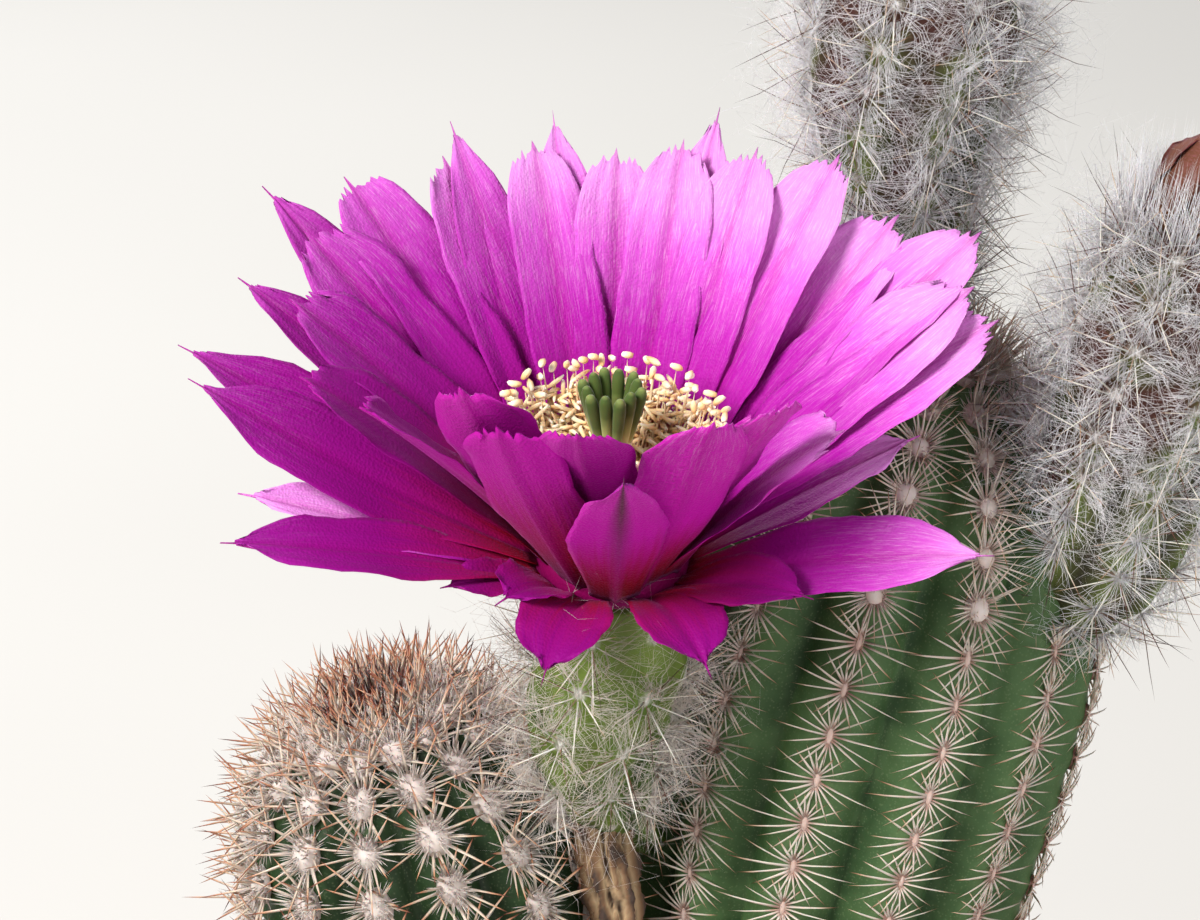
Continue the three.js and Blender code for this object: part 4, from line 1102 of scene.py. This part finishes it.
def toned(form, tone):
    """The form with one tone all over."""
    return form[0], form[1], {**form[2], "tone": np.full(len(form[0]), tone)}


# %% Receptacle
FOOT_SHARE = 0.4
points, faces, numbers = turned([(0, -2.6), (6.2, -2.4), (7.0, -2.0), (7.9, -0.7), (7.4, 0.5),
                                (6.9, 1.5), (6.2, 1.1), (5.2, 0.2), (0, 0.2)], sides=48)
cup = points, faces, {"along": FOOT_SHARE * numbers["along"]}
make_piece("flower_receptacle", in_flower(cup), magenta)

# %% Stamens
pollen = strand_finish("dusty_pollen", [(0.0, "e4b87e"), (0.4, "f8dcac"), (0.8, "fdeecc"),
                       (1.0, "fff8e6")], roughness=0.85, sheen=0.1)
filament = strand_finish("pink_filament", [(0.0, "b0484a"), (0.35, "d79a78"), (0.7, "efcfa4"),
                         (1.0, "f6e4c4")], roughness=0.5, let_through=0.2)
draw = np.random.default_rng(27)
MAT_ANTHERS = 680
TALL_ANTHERS = 84
MAT_HOLE, MAT_WIDTH = 2.1, 8.9
FILAMENT_RADIUS = 0.23
bean = turned([(0, -0.68), (0.24, -0.56), (0.37, -0.2), (0.37, 0.2), (0.24, 0.56), (0, 0.68)], sides=6)
beans = []
stalks = []
for i in range(MAT_ANTHERS + TALL_ANTHERS):
    turn = i * GOLDEN_ANGLE
    if i < MAT_ANTHERS:
        share = math.sqrt((i + 0.5) / MAT_ANTHERS)
        radius = MAT_HOLE + MAT_WIDTH * share
        height = 9.3 + 5.0 * share**1.2 + 1.3 * (draw.random() - 0.5)
    else:
        radius = 8.6 + 3.0 * draw.random()
        height = 15.0 + 2.6 * draw.random()
    head = np.array([radius * math.cos(turn), radius * math.sin(turn), height])
    head[:2] += 0.5 * (draw.random(2) - 0.5)
    spin = TURN * draw.random()
    heading = np.array([math.cos(spin), math.sin(spin), 0.9 * (draw.random() - 0.4)])
    thin, long = (0.62, 1.6) if i < MAT_ANTHERS else (0.95, 1.0)
    stretch = [thin * (0.9 + 0.3 * draw.random()), thin, long * (0.75 + 0.5 * draw.random())]
    dented = bean[0] * stretch * (0.88 + 0.24 * draw.random((len(bean[0]), 1)))
    dented[:, 0] += 0.4 * (draw.random() - 0.5) * dented[:, 2] ** 2
    beans.append(toned(posed((dented, *bean[1:]), heading, head), draw.random()))
    foot = np.array([0.62 * head[0], 0.62 * head[1], 2.5 + 0.3 * radius])
    if i < MAT_ANTHERS:
        bend = head + np.append(4.4 * (draw.random(2) - 0.5), 0.7 - 0.8 * draw.random())
    else:
        bend = 0.5 * (head + foot) + np.append(0.12 * head[:2], 0.4) + 0.5 * (draw.random(3) - 0.5)
    stalks.append(np.array([foot, bend, head - [0, 0, 0.1]]))
t = np.linspace(0, 1, 6)[None, :, None]
stalks = np.array(stalks)[:, :, None, :]
lines = arched(stalks[:, 0], stalks[:, 1], stalks[:, 2], t)
make_piece("stamen_anthers", in_flower(gathered(beans)), pollen, "flower_stamens")
make_piece("stamen_filaments", in_flower(strands(lines, FILAMENT_RADIUS, draw)), filament)

# %% Pistil
velvet = strand_finish("velvety_stigma", [(0.0, "e0d4a0"), (0.24, "98a05a"), (0.42, "4c5c1c"),
                       (0.8, "40561a"), (1.0, "748444")], roughness=0.85, sheen=0.25)
LOBES = 12
lobe = turned([(0, 0), (0.4, 0.0), (0.5, 0.8), (0.56, 2.2), (0.64, 4.0), (0.68, 5.4), (0.62, 6.2),
              (0.42, 6.75), (0.2, 6.95), (0, 7.0)], sides=10)
lobes = []
for i in range(LOBES):
    turn = TURN * (i + 0.5) / LOBES
    out = np.array([math.cos(turn), math.sin(turn), 0])
    lean = math.radians(14 if i % 2 else 10)
    heading = out * math.sin(lean) + np.array([0, 0, math.cos(lean)])
    lobes.append(toned(posed(lobe, heading, out * 1.45 + [0, 0, 13.4]), (i % 2) * 0.5 + 0.25))
make_piece("stigma_lobes", in_flower(gathered(lobes)), velvet, "flower_pistil")
cream_style = strand_finish("waxy_cream_style", [(0.0, "d9b98a"), (0.6, "efe2b4"), (1.0, "e6e0a8")],
                            roughness=0.5)
style = turned([(0, 0.5), (1.2, 0.5), (1.25, 6), (1.35, 10.5), (1.8, 12.6), (2.1, 13.6), (0, 14.0)],
               sides=20)
make_piece("style_column", in_flower(style), cream_style)


# %% [markdown]
# ## Tips of the buds
#
# A bud shows only the tips of its outermost tepals, folded over each other into a blunt cone.
# They are the same blades as in the open flower, but short and bent inwards.

# %% Closed tepals
TIP_TEPALS, TIP_TURN = 13, 137.5


def closed_tips(name, body, node, seed):
    """The cone of tepals at the tip of a bud, in three layers."""
    draw = np.random.default_rng(seed)
    centre, right, back, up = (row[0] for row in body.frame(np.array([body.length])))
    basis = np.stack([right, back, up])
    blades = []
    for i in range(TIP_TEPALS):
        layer = i % 3
        tepal = (i * TIP_TURN, 112 + 3 * layer, 11.5 - 1.2 * layer, 6.4, -62, 0)
        points, faces, numbers = blade(tepal, 4.6 - 0.9 * layer, ring_lift=-0.5, toothed=False,
                                       draw=draw, rows=15, columns=9)
        blades.append((points @ basis + centre, faces, numbers))
    make_piece(name, gathered(blades), bud_petal, node)


closed_tips("crown_bud_tips", CROWN_BUD, "crown_bud_tepals", seed=33)
closed_tips("side_bud_tips", SIDE_BUD, "side_bud_tepals", seed=35)

# %% [markdown]
# ## The withered flower
#
# Between the stems hangs last week's flower. It has dried to a twist of brown paper: the tube
# has shrunk into deep folds and its torn end hangs down. The same grown body serves, with its
# radius folded by a few waves that wander as they go.

# %% Dried flower
husk = strand_finish("papery_husk", [(0.0, "463426"), (0.4, "a28a6a"), (0.7, "74583f"),
                     (1.0, "3c2e26")], roughness=0.9)
draw = np.random.default_rng(41)
HUSK_RINGS, HUSK_SIDES = 80, 60
shares = np.linspace(0, 1, HUSK_RINGS)[:, None]
turns = (TURN * np.arange(HUSK_SIDES) / HUSK_SIDES)[None, :]
radius, height, _ = DRIED.at(shares[:, 0])
folds = (0.16 * np.sin(6 * turns + 5 * shares) + 0.1 * np.sin(11 * turns - 8 * shares + 2)
         + 0.06 * np.sin(17 * turns + 14 * shares) + 0.06 * np.sin(23 * shares + turns)
         + 0.12 * (draw.random((HUSK_RINGS, HUSK_SIDES)) - 0.5) + 0.08 * np.sin(41 * shares + 3 * turns))
reach = radius[:, None] * (0.82 + folds)
points = DRIED.point(np.broadcast_to(turns, reach.shape), reach,
                     np.broadcast_to(height[:, None], reach.shape)).reshape(-1, 3)
ends = DRIED.point(np.zeros(2), np.zeros(2), height[[0, -1]])
# The colour follows the folds: the deepest folds are painted dark brown, which is painted shade, their
# sides are light, and the highest ridges are darker again.
streaks = np.append((0.5 + 2.2 * folds).ravel(), [0.5, 0.5])
form = (np.vstack([points, ends]), capped_faces(HUSK_RINGS, HUSK_SIDES),
        {"along": streaks, "tone": np.full(len(streaks), 0.5)})
make_piece("dried_husk", form, husk, "dried_flower")

# %% [markdown]
# ## Pot
#
# The pot is plain terracotta, thrown or pressed from red clay and fired without glaze. Its
# outline is turned round the axis, with small roundings where the potter's tool left them, and
# the drain holes are cut with a Boolean modifier, as they are pierced in the real one. Fired
# clay is matt and grainy. Water moves through its wall and leaves a pale bloom of lime, most of
# it near the foot, and the wheel leaves faint level lines. A wave texture makes these. At a scale
# of 1 its waves are 2 pi / 20 long, so its scale follows from the gap between the lines.

# %% Outline of the pot
POT = {"height": 92, "foot": 38, "rim": 56, "band_drop": 20, "band_step": 3, "wall": 5.5, "floor": 6}
POT_SIDES = 160


def pot_wall(height):
    """Outer and inner radius of the tapered wall, without the band."""
    outer = POT["foot"] + (POT["rim"] - POT["band_step"] - POT["foot"]) * height / POT["height"]
    return outer, outer - POT["wall"]


def rounded(corners, radius=1.2, steps=4):
    """Cuts each inner corner of an outline and puts a short arc there."""
    corners = np.array(corners, float)
    outline = [corners[0]]
    for before, corner, after in zip(corners, corners[1:], corners[2:]):
        sides = [0.45 * np.linalg.norm(side - corner) for side in (before, after)]
        reach = min(radius, *sides)
        start = corner + reach * unit(before - corner)
        end = corner + reach * unit(after - corner)
        for t in np.linspace(0, 1, steps):
            outline.append(arched(start, corner, end, t))
    return np.array([*outline, corners[-1]])


under_band = POT["height"] - POT["band_drop"]
neck = pot_wall(under_band)[0]
mouth = pot_wall(POT["height"])[1]
corners = [(0, 0), (POT["foot"], 0), (neck, under_band), (neck + POT["band_step"], under_band + 1),
           (POT["rim"], POT["height"]), (mouth, POT["height"]),
           (pot_wall(POT["floor"])[1], POT["floor"]), (0, POT["floor"])]

# %% Terracotta finish
WAVE_LENGTH = TURN / 20
clay, add, place = start_finish("fired_terracotta")
above_foot = add("SeparateXYZ", {"Vector": place}, output="Z")
cloud = add("TexNoise", {"Vector": place, "Scale": cells_of(29.41), "Detail": 6.0})
body_colour = add("ValToRGB", {"Fac": cloud}, stops=[(0.3, "a5583a"), (0.55, "bb6c48"),
                  (0.75, "c98460")])
bloom_height = add("MapRange", {"Value": above_foot, "From Min": 0.0, "From Max": 0.045, "To Min": 0.75,
                   "To Max": 0.12})
bloom_cloud = add("MapRange", {"Value": cloud, "From Min": 0.42, "From Max": 0.66})
bloom = add("Math", {0: bloom_height, 1: bloom_cloud}, operation="MULTIPLY")
limed = add("MixRGB", {"Fac": bloom, "Color1": body_colour, "Color2": "d9c3b0"})
grit_noise = add("TexNoise", {"Vector": place, "Scale": cells_of(0.7143), "Detail": 3.0})
grit_shade = add("MapRange", {"Value": grit_noise, "To Min": 0.8, "To Max": 1.18})
colour = add("HueSaturation", {"Color": limed, "Value": grit_shade})
level_lines = add("TexWave", {"Vector": place, "Scale": WAVE_LENGTH * cells_of(1.653),
                  "Distortion": 1.5, "Detail": 2.0}, output="Fac", bands_direction="Z")
lines_relief = add("Bump", {"Height": level_lines, "Strength": 0.15, "Distance": 0.0004})
relief = add("Bump", {"Height": grit_noise, "Strength": 0.4, "Distance": 0.0003,
             "Normal": lines_relief})
shader = add("BsdfPrincipled", {"Base Color": colour, "Roughness": 0.88, "Normal": relief})
add("OutputMaterial", {"Surface": shader})

# %% Pot with its drain holes
pot = make_piece("clay_pot", turned(rounded(corners), POT_SIDES), clay, "pot")
DRAIN_HOLES, DRAIN_RADIUS, DRAIN_CIRCLE = 5, 1.9, 24
drills = []
for i in range(DRAIN_HOLES):
    points, faces, numbers = turned([(0, -3), (DRAIN_RADIUS, -3), (DRAIN_RADIUS, 10), (0, 10)],
                                    sides=20)
    turn = TURN * i / DRAIN_HOLES
    centre = [DRAIN_CIRCLE * math.cos(turn), DRAIN_CIRCLE * math.sin(turn), 0]
    drills.append((points + centre, faces, numbers))
points, faces, _ = gathered(drills)
drill_mesh = bpy.data.meshes.new("drills")
drill_mesh.from_pydata((points * MM).tolist(), [], faces)
drill_object = bpy.data.objects.new("drills", drill_mesh)
bpy.context.scene.collection.objects.link(drill_object)
cut = pot.modifiers.new("drain_holes", "BOOLEAN")
cut.operation = "DIFFERENCE"
cut.object = drill_object
bpy.context.view_layer.update()
evaluated = pot.evaluated_get(bpy.context.evaluated_depsgraph_get())
pot.data = bpy.data.meshes.new_from_object(evaluated)
pot.modifiers.clear()
bpy.data.objects.remove(drill_object)
print("Pot with its drain holes:", len(pot.data.polygons), "faces")

# %% [markdown]
# ## Soil
#
# A cactus stands in a lean, gritty mix: pumice, lava, quartz grit and a little dark compost. The
# bed is a closed block whose surface is gently uneven, and loose grains from 1 to 5 mm lie on
# it, each a knocked-about icosahedron. They keep clear of the stems, which come up through the
# bed.

# %% Soil bed
draw = np.random.default_rng(47)
earth = strand_finish("damp_compost", [(0.0, "2a2019"), (0.5, "43352a"), (1.0, "5c4a3a")],
                      roughness=0.95)
SOIL_RINGS, SOIL_SIDES = 40, 120
WALL_GAP = 0.6
edge_radius = pot_wall(SOIL_LEVEL)[1] - WALL_GAP
bottom_radius = pot_wall(POT["floor"])[1] - WALL_GAP
bed_floor = POT["floor"] + 0.3
outline = [(0, bed_floor), (bottom_radius, bed_floor), (edge_radius, SOIL_LEVEL - 1.5)]
for share in np.linspace(0.97, 0.02, SOIL_RINGS):
    outline.append((edge_radius * share, SOIL_LEVEL - 0.4))
outline.append((0, SOIL_LEVEL))
points, faces, numbers = turned(outline, SOIL_SIDES)
surface = points[:, 2] > SOIL_LEVEL - 1
x, y, _ = points[surface].T
points[surface, 2] += 0.9 * (draw.random(surface.sum()) - 0.5) + 0.5 * np.sin(x / 7) * np.cos(y / 6)
numbers["along"] = draw.random(len(points))
make_piece("soil_bed", (points, faces, numbers), earth, "soil")

# %% Grit finish
stone, add, place, tone = start_finish("mineral_grit", "tone")
kinds = add("ValToRGB", {"Fac": tone}, stops=[(0.0, "3a302a"), (0.2, "8d8378"), (0.45, "c9bda6"),
            (0.65, "a5836a"), (0.82, "7a4a3a"), (1.0, "d8d2c4")])
kinds.node.color_ramp.interpolation = "CONSTANT"
pits = add("TexNoise", {"Vector": place, "Scale": cells_of(0.9091), "Detail": 4.0})
pit_shade = add("MapRange", {"Value": pits, "To Min": 0.65, "To Max": 1.25})
colour = add("HueSaturation", {"Color": kinds, "Value": pit_shade})
relief = add("Bump", {"Height": pits, "Strength": 0.6, "Distance": 0.0005})
shader = add("BsdfPrincipled", {"Base Color": colour, "Roughness": 0.9, "Normal": relief})
add("OutputMaterial", {"Surface": shader})

# %% Grains of grit
GRAINS = 1500
GOLDEN = (1 + math.sqrt(5)) / 2
ico_points = unit(np.array([(-1, GOLDEN, 0), (1, GOLDEN, 0), (-1, -GOLDEN, 0), (1, -GOLDEN, 0),
                            (0, -1, GOLDEN), (0, 1, GOLDEN), (0, -1, -GOLDEN), (0, 1, -GOLDEN),
                            (GOLDEN, 0, -1), (GOLDEN, 0, 1), (-GOLDEN, 0, -1), (-GOLDEN, 0, 1)]))
ico_faces = [(0, 11, 5), (0, 5, 1), (0, 1, 7), (0, 7, 10), (0, 10, 11), (1, 5, 9), (5, 11, 4),
             (11, 10, 2), (10, 7, 6), (7, 1, 8), (3, 9, 4), (3, 4, 2), (3, 2, 6), (3, 6, 8), (3, 8, 9),
             (4, 9, 5), (2, 4, 11), (6, 2, 10), (8, 6, 7), (9, 8, 1)]
grains = []
for i in range(GRAINS):
    size = 0.7 + 1.9 * draw.random() ** 3
    radius = (edge_radius - size) * math.sqrt(draw.random())
    turn = TURN * draw.random()
    centre = np.array([radius * math.cos(turn), radius * math.sin(turn), SOIL_LEVEL + 0.15 * size])
    if min(body.distance(centre[None])[0] for body in (MAIN, OFFSET)) < size:
        continue
    stretch = 0.7 + 0.6 * draw.random(3)
    knocked = ico_points * (0.85 + 0.3 * draw.random((12, 1))) * stretch * size
    spun = knocked @ np.linalg.qr(draw.normal(size=(3, 3)))[0]
    mirrored = np.linalg.det(np.linalg.lstsq(knocked, spun, rcond=None)[0]) <= 0
    form = spun * [1, 1, -1] if mirrored else spun
    grains.append((form + centre, ico_faces, {"tone": np.full(12, draw.random())}))
grit = make_piece("soil_grit", gathered(grains), stone)
grit.data.shade_flat()
